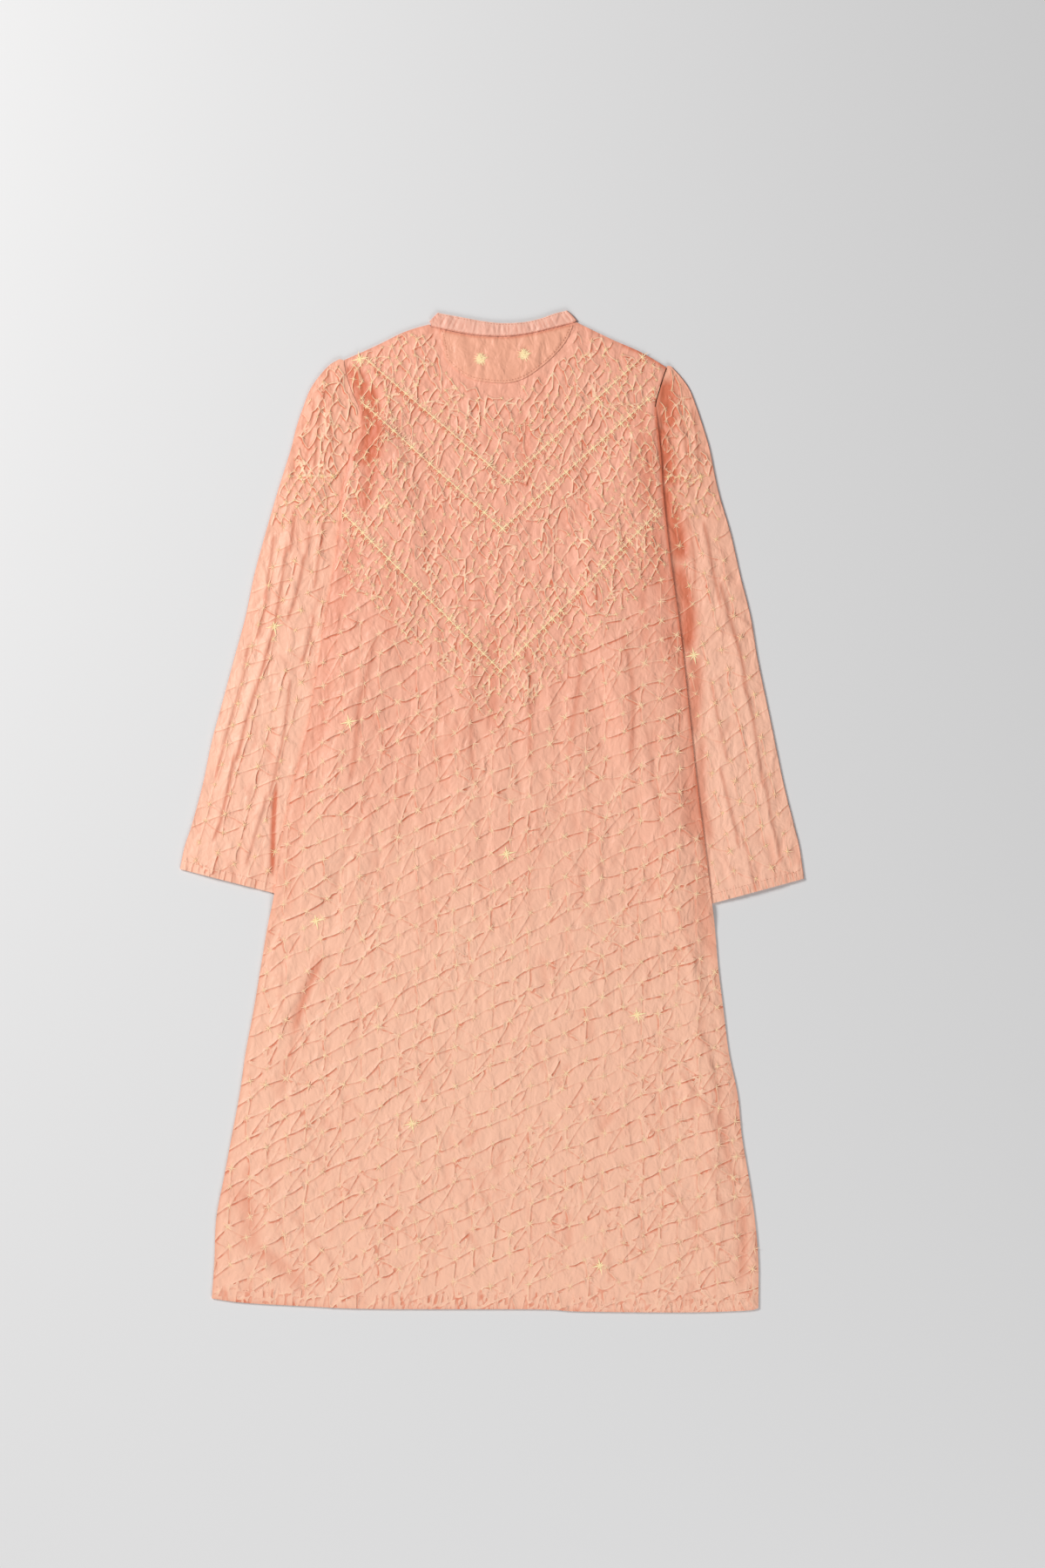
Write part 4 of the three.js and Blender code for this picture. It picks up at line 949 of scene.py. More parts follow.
def thread_material(name, looks):
    """Spun silk sewing thread: twisted, so its sheen breaks up along its length."""
    material, tree, shader, place = new_material(name, Roughness=0.6)
    colour = linear(looks.thread_colour)
    deep = [0.8 * c for c in colour[:3]] + [1.0]
    twisted = mixed(tree, grain(tree, place, 1 / looks.weave), deep, colour)
    tree.links.new(twisted, shader.inputs["Base Color"])
    return material


def body_material(looks):
    name = "Crinkled silk, body"
    return bpy.data.materials.get(name) or silk(
        name, looks.skirt_colour, looks.yoke_colour, looks.crest_colour, looks, -0.27, 0.33)


def sleeve_material(looks):
    name = "Crinkled silk, sleeves"
    return bpy.data.materials.get(name) or silk(
        name, looks.sleeve_colour, looks.sleeve_deep_colour, looks.crest_colour, looks, 0.12, 0.5)


# Property groups
def amount(name, description, default, low, high, **more):
    return bpy.props.FloatProperty(
        name=name, description=description, default=default, min=low, max=high, **more)


def metres(name, description, default, low, high):
    return amount(name, description, default, low, high, unit="LENGTH", precision=5)


def whole(name, description, default, low, high):
    return bpy.props.IntProperty(name=name, description=description, default=default, min=low, max=high)


def hex_colour(name, description, default):
    return bpy.props.StringProperty(name=name, description=description + ", as sRGB hex", default=default)


class DressSizes(bpy.types.PropertyGroup):
    hem_band: amount("Hem band", "Depth of the turned hem, in millimetres", 14, 4, 40)
    cuff_band: amount("Cuff band", "Depth of the turned cuff hem, in millimetres", 10, 4, 30)
    edge_round: amount("Edge rounding", "How far the cloth rolls off at an edge, in millimetres", 0.9, 0, 1)
    panel_columns: whole("Panel columns", "Points across the back panel", 200, 40, 220)
    panel_rows: whole("Panel rows", "Points up the back panel", 444, 80, 480)
    sleeve_rows: whole("Sleeve rows", "Points along a sleeve", 280, 60, 360)
    stitch_length: metres("Stitch", "Length of one stitch", 0.0022, 0.001, 0.01)
    stitch_width: metres("Stitch width", "Width of one stitch", 0.0006, 0.0002, 0.003)
    stitch_gap: metres("Stitch spacing", "From one stitch to the next", 0.0034, 0.0015, 0.02)


class SilkLooks(bpy.types.PropertyGroup):
    skirt_colour: hex_colour("Skirt", "Dyed silk of the skirt", "#F4BDA1")
    yoke_colour: hex_colour("Yoke", "Deeper dye of the yoke", "#F0AB91")
    sleeve_colour: hex_colour("Sleeves", "Dyed silk of the sleeves", "#F6BEA3")
    sleeve_deep_colour: hex_colour("Sleeve heads", "Deeper dye of the sleeve heads", "#F0AE92")
    plain_colour: hex_colour("Plain silk", "Collar band", "#F1BAA5")
    patch_colour: hex_colour("Patch", "Half-moon patch under the collar", "#EDAA8D")
    crest_colour: hex_colour("Crests", "Pale crests of the creases", "#FFE2BA")
    tie_colour: hex_colour("Ties", "Undyed tip of a tie", "#FFE7B2")
    thread_colour: hex_colour("Thread", "Sewing thread", "#DE9A7E")
    # Colours and strength of the painted shade: in broad folds, valleys and seams, and in the line on the
    # steep side of a crest
    fold_shade_colour: hex_colour("Folds", "Deep dye in the broad folds", "#D06A48")
    crease_shade_colour: hex_colour("Crease lines", "Deep dye in the line below a crest", "#D66C49")
    painted_shade_strength: amount("Fold dye", "How far the folds take the deep dye", 0.9, 0, 1, subtype="FACTOR")
    roughness: amount("Roughness", "How dull the silk is", 0.5, 0.1, 1, subtype="FACTOR")
    patch_size: metres("Dye patches", "Size of the uneven patches of dye", 0.13, 0.02, 0.5)
    weave: metres("Weave", "Spacing of the drawn threads", 0.0012, 0.0003, 0.005)
    weave_depth: metres("Weave depth", "Depth of the drawn threads", 0.00012, 0, 0.001)
    wrinkle: metres("Wrinkles", "Size of the fine wrinkles", 0.012, 0.002, 0.05)
    wrinkle_depth: metres("Wrinkle depth", "Depth of the fine wrinkles", 0.0034, 0, 0.005)
    ridge_depth: metres("Ridge depth", "Depth of the sharp edge of a crease", 0.0006, 0, 0.005)
    crest_width: amount("Crest width", "Half width of a crest's pale line, in millimetres", 0.72, 0.2, 3)


class StageLooks(bpy.types.PropertyGroup):
    floor_colour: hex_colour("Floor", "Pale matt floor", "#DADADA")
    light_power: amount("Key light", "Power of the large soft light, in watts", 143, 0, 2000)
    low_power: amount("Low light", "Power of the second light, below the hem, in watts", 88, 0, 2000)
    world_strength: amount("Fill", "Strength of the even light all round", 0.223, 0, 5)
    camera_height: metres("Camera height", "Above the cloth", 4.0, 1, 20)
    view_length: metres("View", "Length of the frame's long side at the cloth", 1.8, 0.5, 5)
    view_x: metres("View centre x", "Middle of the frame across the dress", 0.035, -1, 1)
    view_y: metres("View centre y", "Middle of the frame up the dress", 0.032, -1, 1)


# Ties and stitches, repeated with Geometry Nodes
def star_mesh(arms=8):
    """A tie one unit across: a knot with slim uneven arms and a closed base."""
    mesh = bpy.data.meshes.new("tie")
    points, faces, tips = [(0, 0, 1), (0, 0, -0.8)], [], [1.0, 0.0]
    # One arm from the notch before it: distance out, turn back, height, share of undyed colour
    arm = [(0.11, math.pi / arms, 0.35, 0.85), (0.36, 0.21, 0.3, 0.7), (1, 0, 0.1, 0.5),
           (0.36, -0.21, 0.3, 0.7)]
    for k in range(arms):
        reach = (1, 0.62, 0.86, 0.55, 0.95, 0.72)[k % 6]
        for far, aside, height, tip in arm:
            angle = math.tau * k / arms - aside
            far = far * reach if far > 0.2 else far
            points.append((far * math.cos(angle), far * math.sin(angle), height))
            tips.append(tip)
    for k in range(4 * arms):
        a, b = 2 + k, 2 + (k + 1) % (4 * arms)
        faces += [(0, a, b), (1, b, a)]
    mesh.from_pydata(points, [], faces)
    mesh.attributes.new("tip", "FLOAT", "POINT").data.foreach_set("value", tips)
    return mesh


def geometry_tree(name, **inputs):
    """A Geometry Nodes tree with the named inputs, their identifiers and their sockets inside the tree."""
    tree = bpy.data.node_groups.new(name, "GeometryNodeTree")
    tree.interface.new_socket("Geometry", in_out="INPUT", socket_type="NodeSocketGeometry")
    tree.interface.new_socket("Geometry", in_out="OUTPUT", socket_type="NodeSocketGeometry")
    keys = {}
    for label, kind in inputs.items():
        socket = tree.interface.new_socket(label, in_out="INPUT", socket_type="NodeSocket" + kind)
        keys[label] = socket.identifier
    return tree, keys, tree.nodes.new("NodeGroupInput").outputs


def finish_tree(tree, geometry_socket, material):
    finished = node(tree, "GeometryNodeSetMaterial", Geometry=geometry_socket, Material=material).outputs[0]
    tree.links.new(finished, tree.nodes.new("NodeGroupOutput").inputs[0])


def grown(name, slot, mesh, tree, keys, values):
    """One mesh of all that a tree makes on the points or lines of a mesh."""
    source = linked(name + "_source", mesh)
    modifier = source.modifiers.new(name, "NODES")
    modifier.node_group = tree
    for label, value in values.items():
        modifier[keys[label]] = value
    depsgraph = bpy.context.evaluated_depsgraph_get()
    made = bpy.data.meshes.new_from_object(source.evaluated_get(depsgraph), depsgraph=depsgraph)
    source.modifiers.remove(modifier)
    bpy.data.objects.remove(source)
    bpy.data.node_groups.remove(tree)
    made.name = name
    made.shade_smooth()
    piece = linked(name, made)
    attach(piece, "root")
    return piece


def tie_tree():
    """Stands a tie on each point, turned and sized by the point's own attributes."""
    tree, keys, start = geometry_tree("Ties", Tie="Object", Finish="Material")

    def named(name):
        return node(tree, "GeometryNodeInputNamedAttribute", {"data_type": "FLOAT"}, Name=name).outputs[0]

    def stored(domain, geometry_socket, name, value):
        settings = {"data_type": "FLOAT", "domain": domain}
        return node(tree, "GeometryNodeStoreNamedAttribute", settings, Geometry=geometry_socket, Name=name,
                    Value=value).outputs[0]

    size = node(tree, "ShaderNodeCombineXYZ", X=named("reach"), Y=named("reach"), Z=named("rise")).outputs[0]
    rotation = node(tree, "ShaderNodeCombineXYZ", Z=named("turn")).outputs[0]
    tie = node(tree, "GeometryNodeObjectInfo", Object=start["Tie"]).outputs["Geometry"]
    stood = node(tree, "GeometryNodeInstanceOnPoints", Points=start["Geometry"], Instance=tie,
                 Rotation=rotation, Scale=size).outputs[0]
    shared = stored("INSTANCE", stood, "dye share", named("dye"))
    real = node(tree, "GeometryNodeRealizeInstances", Geometry=shared).outputs[0]
    dyed = maths(tree, "MULTIPLY", named("tip"), named("dye share"))
    finish_tree(tree, stored("POINT", real, "tip", dyed), start["Finish"])
    return tree, keys


def stand_ties(part, ties, heights, material, slot):
    """One mesh of all the ties of a part, standing on its cloth."""
    mesh = bpy.data.meshes.new("places")
    mesh.from_pydata((np.column_stack([ties[:, :2], heights]) * MM).tolist(), [], [])
    values = {"reach": ties[:, 2] * MM, "rise": ties[:, 3] * MM, "turn": ties[:, 5], "dye": ties[:, 4]}
    for label, numbers in values.items():
        mesh.attributes.new(label, "FLOAT", "POINT").data.foreach_set("value", numbers.astype(np.float32))
    star = linked("tie", star_mesh())
    piece = grown(f"{part}_ties", slot, mesh, *tie_tree(), {"Tie": star, "Finish": material})
    bpy.data.objects.remove(star)
    piece.data.set_sharp_from_angle(angle=math.radians(50))


def stitch_tree():
    """Lays a slim stitch at even steps along each line."""
    tree, keys, start = geometry_tree(
        "Stitches", Spacing="Float", Length="Float", Width="Float", Finish="Material")
    line = node(tree, "GeometryNodeMeshToCurve", Mesh=start["Geometry"]).outputs[0]
    even = node(tree, "GeometryNodeResampleCurve", {"mode": "LENGTH"}, Curve=line, Length=start["Spacing"])
    ahead = node(tree, "GeometryNodeInputTangent").outputs[0]
    turned = node(tree, "FunctionNodeAlignRotationToVector", {"axis": "Z"}, Vector=ahead).outputs[0]
    stitch = node(tree, "GeometryNodeMeshUVSphere", Segments=6, Rings=4, Radius=0.5).outputs[0]
    width = start["Width"]
    scale = node(tree, "ShaderNodeCombineXYZ", X=width, Y=width, Z=start["Length"]).outputs[0]
    laid = node(tree, "GeometryNodeInstanceOnPoints", Points=even.outputs[0], Instance=stitch,
                Rotation=turned, Scale=scale).outputs[0]
    real = node(tree, "GeometryNodeRealizeInstances", Geometry=laid).outputs[0]
    finish_tree(tree, real, start["Finish"])
    return tree, keys


def sew(name, thread, lines, slot, context):
    """Stitches along lines of points in millimetres."""
    sizes, looks = context.scene.dress_sizes, context.scene.silk_looks
    points, edges = [], []
    for line in lines:
        edges += [(len(points) + k, len(points) + k + 1) for k in range(len(line) - 1)]
        points += (np.asarray(line) * MM).tolist()
    mesh = bpy.data.meshes.new("lines")
    mesh.from_pydata(points, edges, [])
    values = {"Spacing": sizes.stitch_gap, "Length": sizes.stitch_length, "Width": sizes.stitch_width,
              "Finish": thread_material(f"Sewing thread, {thread}", looks)}
    grown(name, slot, mesh, *stitch_tree(), values)


def front_neck(steps=60):
    """Both halves of the deep front neck, from the shoulder down to the slit, and the middle of the slit."""
    ends = {"left": neck_seam[0], "right": neck_seam[-1]}
    middle = (ends["left"][0] + ends["right"][0]) / 2
    half_width = (ends["right"][0] - ends["left"][0]) / 2
    lowest = ends["left"][1] - FRONT_NECK_DROP
    angle = np.linspace(0, math.pi / 2, steps + 1)
    across = SLIT_WIDTH / 2 + (half_width - SLIT_WIDTH / 2) * np.cos(angle)
    halves = {}
    for side in SIDES:
        y = ends[side][1] + (lowest - ends[side][1]) * np.sin(angle)
        halves[side] = np.stack([middle - TURNS[side] * across, y], axis=1)
    return halves, middle


def groove(gap, at, depth, half_width):
    """How far the stitches pull the cloth down round their line."""
    return -depth * np.exp(-((gap - at) / half_width) ** 2)


def surface_heights(places, flat, heights):
    """Height of the cloth at each place, from the nearest point of its net."""
    tree = point_tree(flat)
    return np.array([heights[tree.find((x, y, 0))[1]] for x, y in places[:, :2]])


class DRESS_OT_front_panel(bpy.types.Operator):
    """Front panel, lying face down under the back, with its deep neck and slit"""

    bl_idname = "dress.front_panel"
    bl_label = "Front panel"

    def execute(self, context):
        halves, middle = front_neck()
        depths = np.arange(3, SLIT_LENGTH + 1, 3.0)
        slit_y = halves["left"][-1][1] - depths
        slit = {turn: np.stack([np.full(len(depths), middle + turn * SLIT_WIDTH / 2), slit_y], axis=1)
                for turn in (-1, 1)}
        loop = np.vstack([
            hem_line[:-1], body_sides["right"][:-1], shoulders["right"][::-1], halves["right"],
            slit[1], slit[-1][::-1], halves["left"][::-1], shoulders["left"][::-1][:-1],
            body_sides["left"][::-1][:-1],
        ])
        lower, lower_faces = filled(loop, *FRONT_NET)
        upper, upper_faces = filled(loop, *FRONT_TOP_NET)
        relief = Relief(loop)
        back_ties(relief, context.scene.dress_sizes)
        # The panel lies face down, so the skin with its crests comes first and every face is turned over
        points, faces = two_skins(
            np.column_stack([lower, front_bottom(lower)]), lower_faces,
            np.column_stack([upper, front_bottom(upper) + WALL]), upper_faces, range(len(loop)))
        piece = cloth_piece("front_panel", points, [face[::-1] for face in faces],
                            body_material(context.scene.silk_looks),
                            crest_values(relief, lower, len(upper), FRONT_REACH))
        return {"FINISHED"}


class DRESS_OT_sleeves(bpy.types.Operator):
    """Both sleeves, each one sheet folded along its outer edge and tucked under the panels"""

    bl_idname = "dress.sleeves"
    bl_label = "Sleeves"

    def execute(self, context):
        for side in SIDES:
            make_sleeve(context, side)
        return {"FINISHED"}


def make_sleeve(context, side):
    """One sleeve: a closed sheet with its creases, its ties and the stitches of its cuff."""
    sizes, looks, turn = context.scene.dress_sizes, context.scene.silk_looks, TURNS[side]
    cap = shifted(armholes[side], turn * SEAM_GAP)
    fold = fold_edges[side][::-1]
    tucked = np.vstack([tucked_edges[side][::-1][:-1], cap[:1]])
    cuff = resample([CUFF_TIPS[side], CUFF_CORNERS[side]], np.linspace(0, 1, 120))
    head = np.vstack([[FOLD_STARTS[side]], cap[::-1]])
    rows = sizes.sleeve_rows
    up = np.linspace(0, 1, rows)
    across = np.concatenate([np.linspace(0, 0.74, 64), np.linspace(0.74, 1, 13)[1:]])
    grid, low_grid = [
        woven_grid(resample(cuff, shares), resample(head, shares), resample(fold, up), resample(tucked, up))
        for shares in (across, np.linspace(0, 1, LOW_COLUMNS))]
    flat = grid.reshape(-1, 2)

    body_side = shifted(body_sides[side], 1.2 * turn)
    downwards = body_side[::-1]
    shown = (downwards[:, 1] < SHOWN_SIDE_HIGH) & (downwards[:, 1] > SHOWN_SIDE_LOW)
    exposed = np.vstack([fold, head[1:6], downwards[shown][::3], cuff[::-1]])
    exposed = exposed[np.concatenate([[True], (np.abs(np.diff(exposed, axis=0)).sum(axis=1) > 1e-6)])]
    under_body = is_inside(flat, back_loop)
    from_body, from_fold, from_cuff = [to_line(flat, line) for line in (body_side[::3], fold[::2], cuff)]
    puff = SLEEVE_PUFF * np.where(under_body, 0, smooth(0, PUFF_REACH, from_body))
    puff *= smooth(0, PUFF_REACH, from_fold)
    relief = Relief(flat)
    cuff_line = cuff if side == "left" else cuff[::-1]
    ties = sleeve_ties(relief, side, exposed, cuff_line, sizes)
    band = 0.35 * smooth(sizes.cuff_band + 1.2, sizes.cuff_band - 0.6, from_cuff)
    band += groove(from_cuff, sizes.cuff_band, 0.4, 0.9)
    crinkle = relief.rise(flat) * (0.45 + 0.55 * smooth(0, EDGE_ROLL, from_fold)) + band
    crinkle *= np.where(under_body, 0, smooth(0, 3, from_body))
    top = SLEEVE_TOP + puff + crinkle - 0.25 * (1 - smooth(0, 3, from_fold))

    # The sheet goes from the tucked edge over the top to the fold, round it, and back underneath
    ahead = np.gradient(grid[:, 0], axis=0)
    ahead /= np.linalg.norm(ahead, axis=1)[:, None]
    outward = turn * np.stack([-ahead[:, 1], ahead[:, 0]], axis=1)
    flush = (1 - 0.85 * smooth(0.96, 1, up))[:, None]

    def sheet(top_heights, radius, low_height):
        """Columns of one skin of the sheet, with a turn of the given radius at the fold."""
        upper = np.dstack([grid, top_heights.reshape(grid.shape[:2])])[:, ::-1]
        turned = []
        for angle in np.radians([60, 30, 0, -30, -60]):
            place = grid[:, 0] + outward * flush * radius * math.cos(angle)
            turned.append(np.column_stack([place, np.full(rows, SLEEVE_TOP / 2 + radius * math.sin(angle))]))
        lower = np.dstack([low_grid, np.full(low_grid.shape[:2], float(low_height))])
        return np.concatenate([upper, np.stack(turned, axis=1), lower], axis=1)

    outer = sheet(top, SLEEVE_TOP / 2, 0)
    inner = sheet(SLEEVE_TOP + puff - WALL, SEAM_GAP / 2, WALL)
    total = outer.shape[1]
    count = rows * total
    faces = grid_faces(rows, total) + [face[::-1] for face in grid_faces(rows, total, count)]
    edge = border(rows, total).tolist()
    faces += [(b, a, a + count, b + count) for a, b in zip(edge, [*edge[1:], edge[0]])]
    if side == "left":
        faces = [tuple(face)[::-1] for face in faces]
    points = np.vstack([outer.reshape(-1, 3), inner.reshape(-1, 3)])
    values = crest_values(relief, points[:count, :2], count, SLEEVE_REACH)
    upper = np.tile(np.arange(total) < grid.shape[1], rows)
    for name in ("pale", "fold", "tint"):
        values[name][:count] *= upper
    # Painted shade on the turn of the fold and on the underside
    values["tint"][:count] += 0.4 * ~upper
    piece = cloth_piece(f"sleeve_{side}", points, faces, sleeve_material(looks), values)
    tips = tie_silk(f"Tied silk, {side} sleeve", looks.sleeve_colour, looks)
    stand_ties(f"sleeve_{side}", ties, surface_heights(ties, flat, top), tips, "tied_silk")
    seam = shifted(cuff_line, sizes.cuff_band)
    seam = seam[~is_inside(seam, back_loop)][2:-2]
    seam = np.column_stack([seam, surface_heights(seam, flat, top) + 0.1])
    sew(f"sleeve_{side}_stitches", f"{side} cuff", [seam], "tied_silk", context)


class DRESS_OT_back_panel(bpy.types.Operator):
    """Back panel: crinkled silk with its ties, V lines and turned hem"""

    bl_idname = "dress.back_panel"
    bl_label = "Back panel"

    def execute(self, context):
        sizes, looks = context.scene.dress_sizes, context.scene.silk_looks
        columns, rows = sizes.panel_columns, sizes.panel_rows
        skirt = round(rows * 0.5)
        up = np.concatenate([np.linspace(0, 0.6, skirt), np.linspace(0.6, 1, rows - skirt + 1)[1:]])
        across = np.linspace(0, 1, columns)
        top_line = np.vstack([shoulders["left"], neck_seam, shoulders["right"]])
        grid = woven_grid(resample(hem_line, across), resample(top_line, across),
                          resample(body_sides["left"], up), resample(body_sides["right"], up))
        flat = grid.reshape(-1, 2)
        relief = Relief(flat)
        ties = back_ties(relief, sizes)
        edge_gap, hem_gap = to_line(flat, back_edge), to_line(flat, hem_line[::3])
        off_patch = smooth(1, 6, to_line(flat, closed(patch_loop)[::2])) * ~is_inside(flat, patch_loop)
        band = 0.45 * smooth(sizes.hem_band + 1.2, sizes.hem_band - 0.8, hem_gap)
        band += groove(hem_gap, sizes.hem_band, 0.5, 1.2)
        plain, inward = back_bottom(flat), smooth(0, EDGE_ROLL, edge_gap)
        crinkle = relief.rise(flat) * off_patch * (0.35 + 0.65 * inward) + band
        sewn = smooth(3, 9, to_line(flat, neck_seam))
        top = plain + WALL + crinkle - sizes.edge_round * (1 - inward) * sewn
        top = np.maximum(top, plain + 0.5)
        ring = border(rows, columns)
        loop = flat[ring]
        under, under_faces = filled(loop, *BACK_UNDER_NET)
        points, faces = two_skins(np.column_stack([flat, top]), grid_faces(rows, columns),
                                  np.column_stack([under, back_bottom(under)]), under_faces, ring)
        reach = np.where(flat[:, 1] > yoke_bottom(flat[:, 0]), YOKE_REACH, SKIRT_REACH)
        values = crest_values(relief, flat, len(under), reach)
        for name in ("pale", "fold", "tint"):
            values[name][:len(flat)] *= off_patch
        # Painted shade along the panel's edges, deeper at the right edge
        deep = (flat[:, 0] > DEEP_SHADE_X) & (flat[:, 1] > DEEP_SHADE_Y)
        edge_shade = np.where(deep, DEEP_EDGE_SHADE, EDGE_SHADE) * smooth(5, 0, edge_gap)
        values["tint"][:len(flat)] = np.maximum(values["tint"][:len(flat)], edge_shade)
        piece = cloth_piece("back_panel", points, faces, body_material(looks), values)
        tips = tie_silk("Tied silk, body", looks.skirt_colour, looks)
        stand_ties("back_panel", ties, surface_heights(ties, flat, top), tips, "tied_silk")
        return {"FINISHED"}


class DRESS_OT_collar(bpy.types.Operator):
    """Band collar: its back half stands over the neck seam, its front half lies folded under"""

    bl_idname = "dress.collar"
    bl_label = "Collar"

    def execute(self, context):
        looks, stations = context.scene.silk_looks, collar_stations()
        puckers = np.cumsum(np.random.default_rng(SEEDS["collar"]).uniform(2.6, 7, 80))
        pivot, inner, outer = WALL + SEAM_GAP / 2, SEAM_GAP / 2, SEAM_GAP / 2 + WALL
        shares = np.array([1, 0.96, 0.88, 0.76, 0.62, 0.5, 0.38, 0.24, 0.12, 0.04, 0])
        arch = np.sin(math.pi * shares)
        stitched = 0.25 * np.exp(-((shares - 0.9) / 0.05) ** 2)
        stitched += 0.2 * (shares > 0.98) + 0.1 * (shares < 0.02)
        run, rings, tint = 0.0, [], []
        before = stations[0][0]
        for seam, free, angle, out in stations:
            run += np.hypot(*(seam - before))
            before = seam
            wave = np.exp(-((puckers - run) / 1.6) ** 2).sum()
            crown = max(math.sin(angle), 0) * ((COLLAR_CROWN + 0.7 * wave) * arch - stitched)
            ring = []
            for share, radius in [(0, inner), (0.5, inner), (1, inner), *zip(shares, outer + crown)]:
                place = seam + share * (free - seam) + radius * math.cos(angle) * out
                ring.append((place[0], place[1], pivot + radius * math.sin(angle)))
            rings.append(ring)
            # Painted shade beside each pucker and along the collar's lower edge at the neck seam
            dark = 0.55 * np.exp(-((puckers + 1.9 - run) / 1.1) ** 2).sum() * arch
            tint += [0, 0, 0, *np.maximum(0.8 * smooth(0.14, 0, shares), dark)]
        corners, last = len(rings[0]), (len(rings) - 1) * len(rings[0])
        faces = [
            (a + c, a + (c + 1) % corners, a + corners + (c + 1) % corners, a + corners + c)
            for a in range(0, last, corners) for c in range(corners)]
        faces += [tuple(range(corners))[::-1], tuple(range(last, last + corners))]
        plain = looks.plain_colour
        material = silk("Plain silk, collar", plain, plain, plain, looks)
        piece = cloth_piece("collar", np.array(rings).reshape(-1, 3), faces, material,
                            {"tint": tint}, 50)
        back = [(seam, free - seam) for seam, free, angle, _ in stations if angle > 1.5]
        seams = [
            [(*(seam + share * span), pivot + outer + 0.1) for seam, span in back] for share in (0.1, 0.9)]
        sew("collar_stitches", "collar", seams, "plain_silk", context)
        return {"FINISHED"}


def collar_stations():
    """Seam point, free point, angle and outward turn of the cloth, from the left front end to the right."""
    seam = shifted(neck_seam, SEAM_GAP)
    top_edge = spaced(COLLAR_TOP, 1.0)
    still = np.zeros(2)
    shares = (np.arange(len(seam)) + 1) / (len(seam) + 1)
    back = [(p, q, math.pi / 2, still) for p, q in zip(seam, resample(top_edge, shares))]
    halves, _ = front_neck()
    front, folded = {}, {}
    for side, turn in TURNS.items():
        low, free = shifted(halves[side], turn * SEAM_GAP), shifted(halves[side], turn * COLLAR_RISE)
        front[side] = [(p, q, -math.pi / 2, still) for p, q in zip(low, free)]
        end, tip = np.array(COLLAR_ENDS[side]), np.array(COLLAR_TOP[OUTER_ENDS[side]], float)
        span = tip - end
        out = turn * np.array([-span[1], span[0]]) / np.hypot(*span)
        folded[side] = [(end, tip, quarter * math.pi / 8, out) for quarter in range(4, -5, -1)]
    return [*front["left"][::-1], *folded["left"][::-1], *back, *folded["right"], *front["right"]]


class DRESS_OT_neck_patch(bpy.types.Operator):
    """Half-moon patch under the collar, plain silk with two large ties"""

    bl_idname = "dress.neck_patch"
    bl_label = "Neck patch"

    def execute(self, context):
        looks = context.scene.silk_looks
        relief = Relief(patch_loop)
        random = np.random.default_rng(SEEDS["patch"])
        ties = []
        for x, y in PATCH_DOTS:
            for k in range(9):
                angle = k * math.tau / 9 + random.uniform(-0.2, 0.2)
                far = random.uniform(11, 22)
                relief.crease((x, y), (x + far * math.cos(angle), y + far * math.sin(angle)),
                              random.uniform(0.25, 0.6), 0.0, (2.6, 1.5), 0.2)
            place, px, py = relief.window(np.array([x, y], float), 14)
            knob = 0.8 * np.exp(-(np.hypot(px - x, py - y) / 5.5) ** 2)
            relief.height[place] = np.maximum(relief.height[place], knob)
            ties.append((x, y, *PATCH_TIE, 0.3))
            for t in (0.1, 0.9, 1.7, 2.5, 3.2, 4.0, 4.8, 5.5):
                place = (x + PATCH_SPREAD * math.cos(t), y + PATCH_SPREAD * math.sin(t))
                ties.append((*place, *PATCH_SMALL_TIE, 2.4 * t))
        for fold in PATCH_CREASES:
            relief.broad(*fold)
        flat, flat_faces = filled(patch_loop, *PATCH_NET)
        under, under_faces = filled(patch_loop, *PATCH_UNDER_NET)
        gap = to_line(flat, patch_edge)
        run = np.arctan2(flat[:, 1] - 560, flat[:, 0] - 15) * 70
        pucker = 0.22 * np.sin(run * 0.9 + 1.5 * np.sin(run * 0.23)) * smooth(9, 2, gap)
        edge = -0.5 * (1 - smooth(0, 3.6, gap))
        base = WALL + PATCH_GAP
        top = back_bottom(flat) + base + PATCH_WALL + relief.rise(flat) * smooth(0, 5, gap)
        top += pucker + groove(gap, PATCH_SEAM, 0.18, 0.9) + edge
        points, faces = two_skins(
            np.column_stack([flat, top]), flat_faces,
            np.column_stack([under, back_bottom(under) + base]), under_faces, range(len(patch_loop)))
        # Painted shadow under the collar, within 5 mm of the neck seam
        shade = np.concatenate([0.8 * smooth(5, 0, to_line(flat, neck_seam)), np.zeros(len(under))])
        plain = looks.patch_colour
        material = silk("Plain silk, patch", plain, plain, plain, looks)
        piece = cloth_piece("neck_patch", points, faces, material, {"tint": shade})
        ties = np.array(ties)
        tips = tie_silk("Tied silk, patch", looks.patch_colour, looks)
        stand_ties("neck_patch", ties, surface_heights(ties, flat, top), tips, "plain_silk")
        line = shifted(patch_edge, PATCH_SEAM)[2:-2]
        seam = np.column_stack([line, back_bottom(line) + base + PATCH_WALL])
        sew("neck_patch_stitches", "patch", [seam], "plain_silk", context)
        return {"FINISHED"}


class DRESS_OT_hem_stitches(bpy.types.Operator):
    """Stitches along the turned hem"""

    bl_idname = "dress.hem_stitches"
    bl_label = "Hem stitches"

    def execute(self, context):
        line = shifted(hem_line, context.scene.dress_sizes.hem_band)[2:-2]
        seam = np.column_stack([line, back_bottom(line) + WALL - 0.1])
        sew("hem_stitches", "hems", [seam], "tied_silk", context)
        return {"FINISHED"}


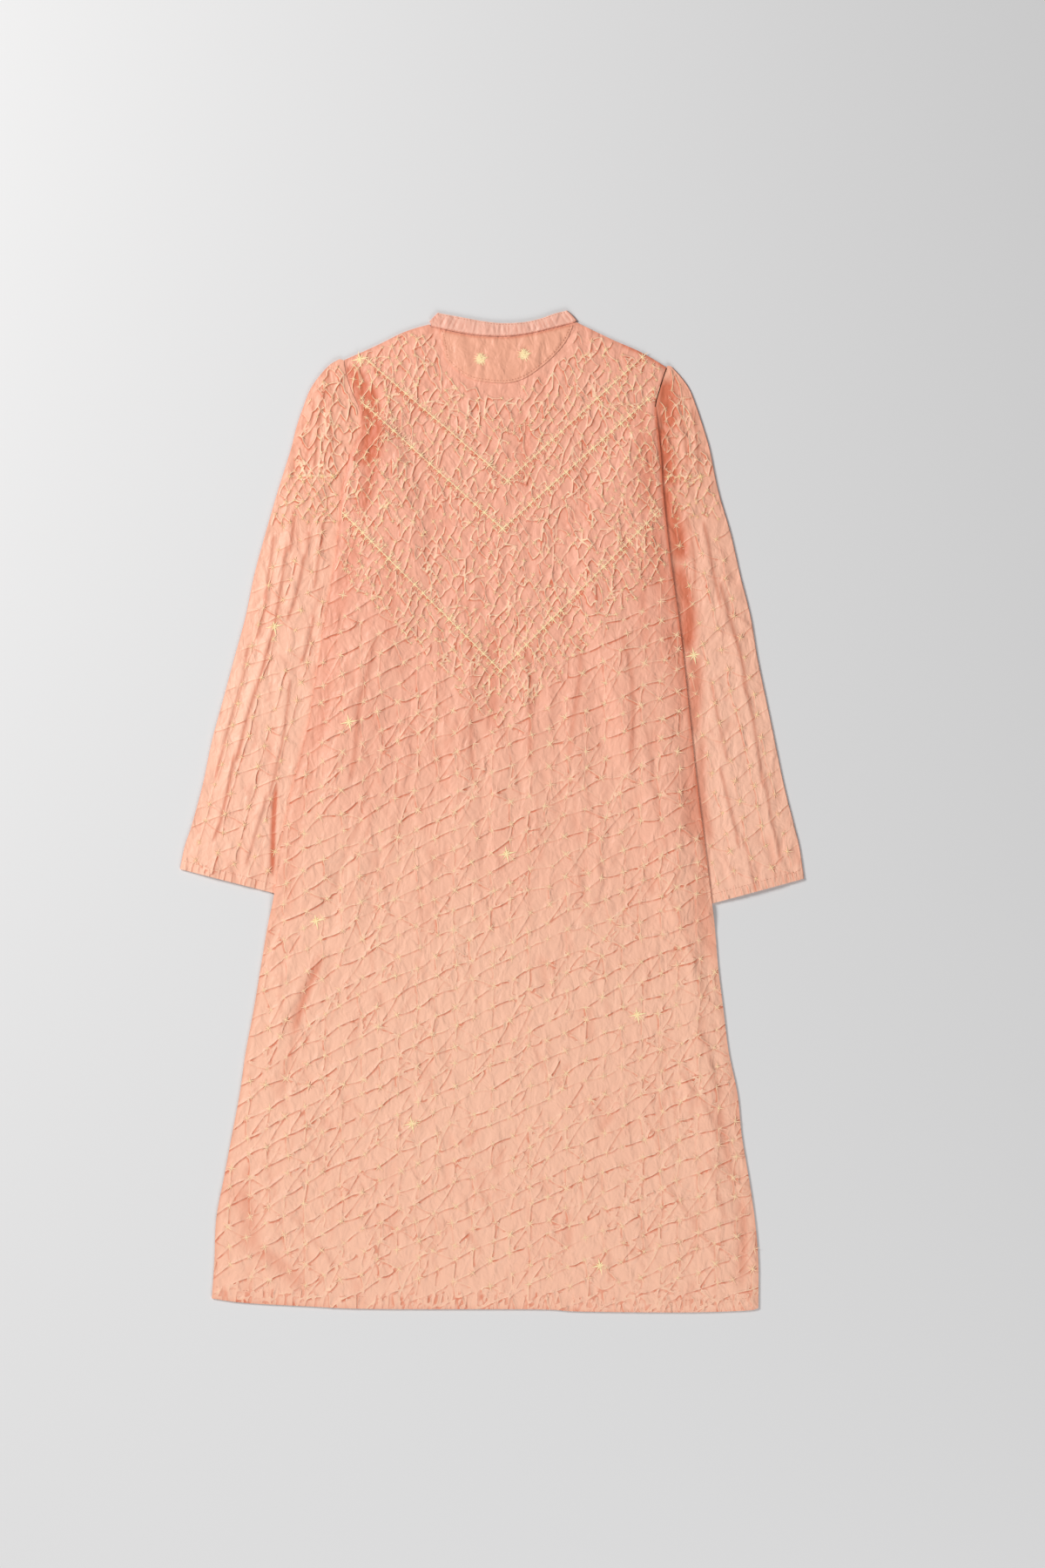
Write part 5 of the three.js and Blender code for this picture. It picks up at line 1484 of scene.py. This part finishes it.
class DRESS_OT_stage(bpy.types.Operator):
    """Pale floor, soft light from the upper left and from below the hem, and the camera straight above"""

    bl_idname = "dress.stage"
    bl_label = "Stage"

    def execute(self, context):
        scene, stage = context.scene, context.scene.stage_looks
        mesh = bpy.data.meshes.new("floor")
        signs = ((-1, -1), (1, -1), (1, 1), (-1, 1))
        corners = [(x * FLOOR_HALF, y * FLOOR_HALF, -FLOOR_DROP) for x, y in signs]
        mesh.from_pydata(corners, [], [(0, 1, 2, 3)])
        material, tree, shader, place = new_material(
            "Matt painted board", Base_Color=linear(stage.floor_colour), Roughness=0.9)
        tree.links.new(bumped(tree, grain(tree, place, 400.0), 0.0002, 0.05), shader.inputs["Normal"])
        mesh.materials.append(material)
        linked("floor", mesh)

        # Name, place, width, power, colour
        lamps = [("key", (-2.6, 1.6, 2.6), 1.6, stage.light_power, (1.0, 0.99, 0.98)),
                 ("low", (1.0, -3.5, 2.2), 2.4, stage.low_power, (1.0, 1.0, 1.0))]
        for name, place, size, power, colour_of_light in lamps:
            data = bpy.data.lights.new(name, "AREA")
            data.shape, data.size, data.energy, data.color = "DISK", size, power, colour_of_light
            lamp = linked(name, data)
            lamp.location = place
            lamp.rotation_euler = (-Vector(place)).to_track_quat("-Z", "Y").to_euler()
        scene.world = scene.world or bpy.data.worlds.new("studio")
        scene.world.use_nodes = True
        fill = scene.world.node_tree.nodes["Background"]
        fill.inputs["Color"].default_value = linear("#FAFBFF")
        fill.inputs["Strength"].default_value = stage.world_strength
        scene.view_settings.view_transform = "Standard"
        data = bpy.data.cameras.new("camera")
        data.lens = data.sensor_width * stage.camera_height / stage.view_length
        scene.camera = linked("camera", data)
        scene.camera.location = (stage.view_x, stage.view_y, stage.camera_height + CLOTH_HEIGHT)
        return {"FINISHED"}


class DRESS_PT_panel(bpy.types.Panel):
    """Lists the pieces of the dress and its sizes"""

    bl_idname = "DRESS_PT_panel"
    bl_label = "Bandhani dress"
    bl_space_type = "VIEW_3D"
    bl_region_type = "UI"
    bl_category = "Dress"

    def draw(self, context):
        for operator in OPERATORS:
            self.layout.operator(operator.bl_idname)
        for group in ("dress_sizes", "silk_looks", "stage_looks"):
            box = self.layout.box()
            holder = getattr(context.scene, group)
            for name in holder.__annotations__:
                box.prop(holder, name)


OPERATORS = (DRESS_OT_front_panel, DRESS_OT_sleeves, DRESS_OT_back_panel, DRESS_OT_collar,
             DRESS_OT_neck_patch, DRESS_OT_hem_stitches, DRESS_OT_stage)
GROUPS = {"dress_sizes": DressSizes, "silk_looks": SilkLooks, "stage_looks": StageLooks}


def register():
    for item in (*GROUPS.values(), *OPERATORS, DRESS_PT_panel):
        bpy.utils.register_class(item)
    for name, group in GROUPS.items():
        setattr(bpy.types.Scene, name, bpy.props.PointerProperty(type=group))


def unregister():
    for name in GROUPS:
        delattr(bpy.types.Scene, name)
    for item in reversed((*GROUPS.values(), *OPERATORS, DRESS_PT_panel)):
        bpy.utils.unregister_class(item)


def main():
    register()
    bpy.ops.dress.front_panel()
    bpy.ops.dress.sleeves()
    bpy.ops.dress.back_panel()
    bpy.ops.dress.collar()
    bpy.ops.dress.neck_patch()
    bpy.ops.dress.hem_stitches()
    bpy.ops.dress.stage()


if __name__ == "__main__":
    main()
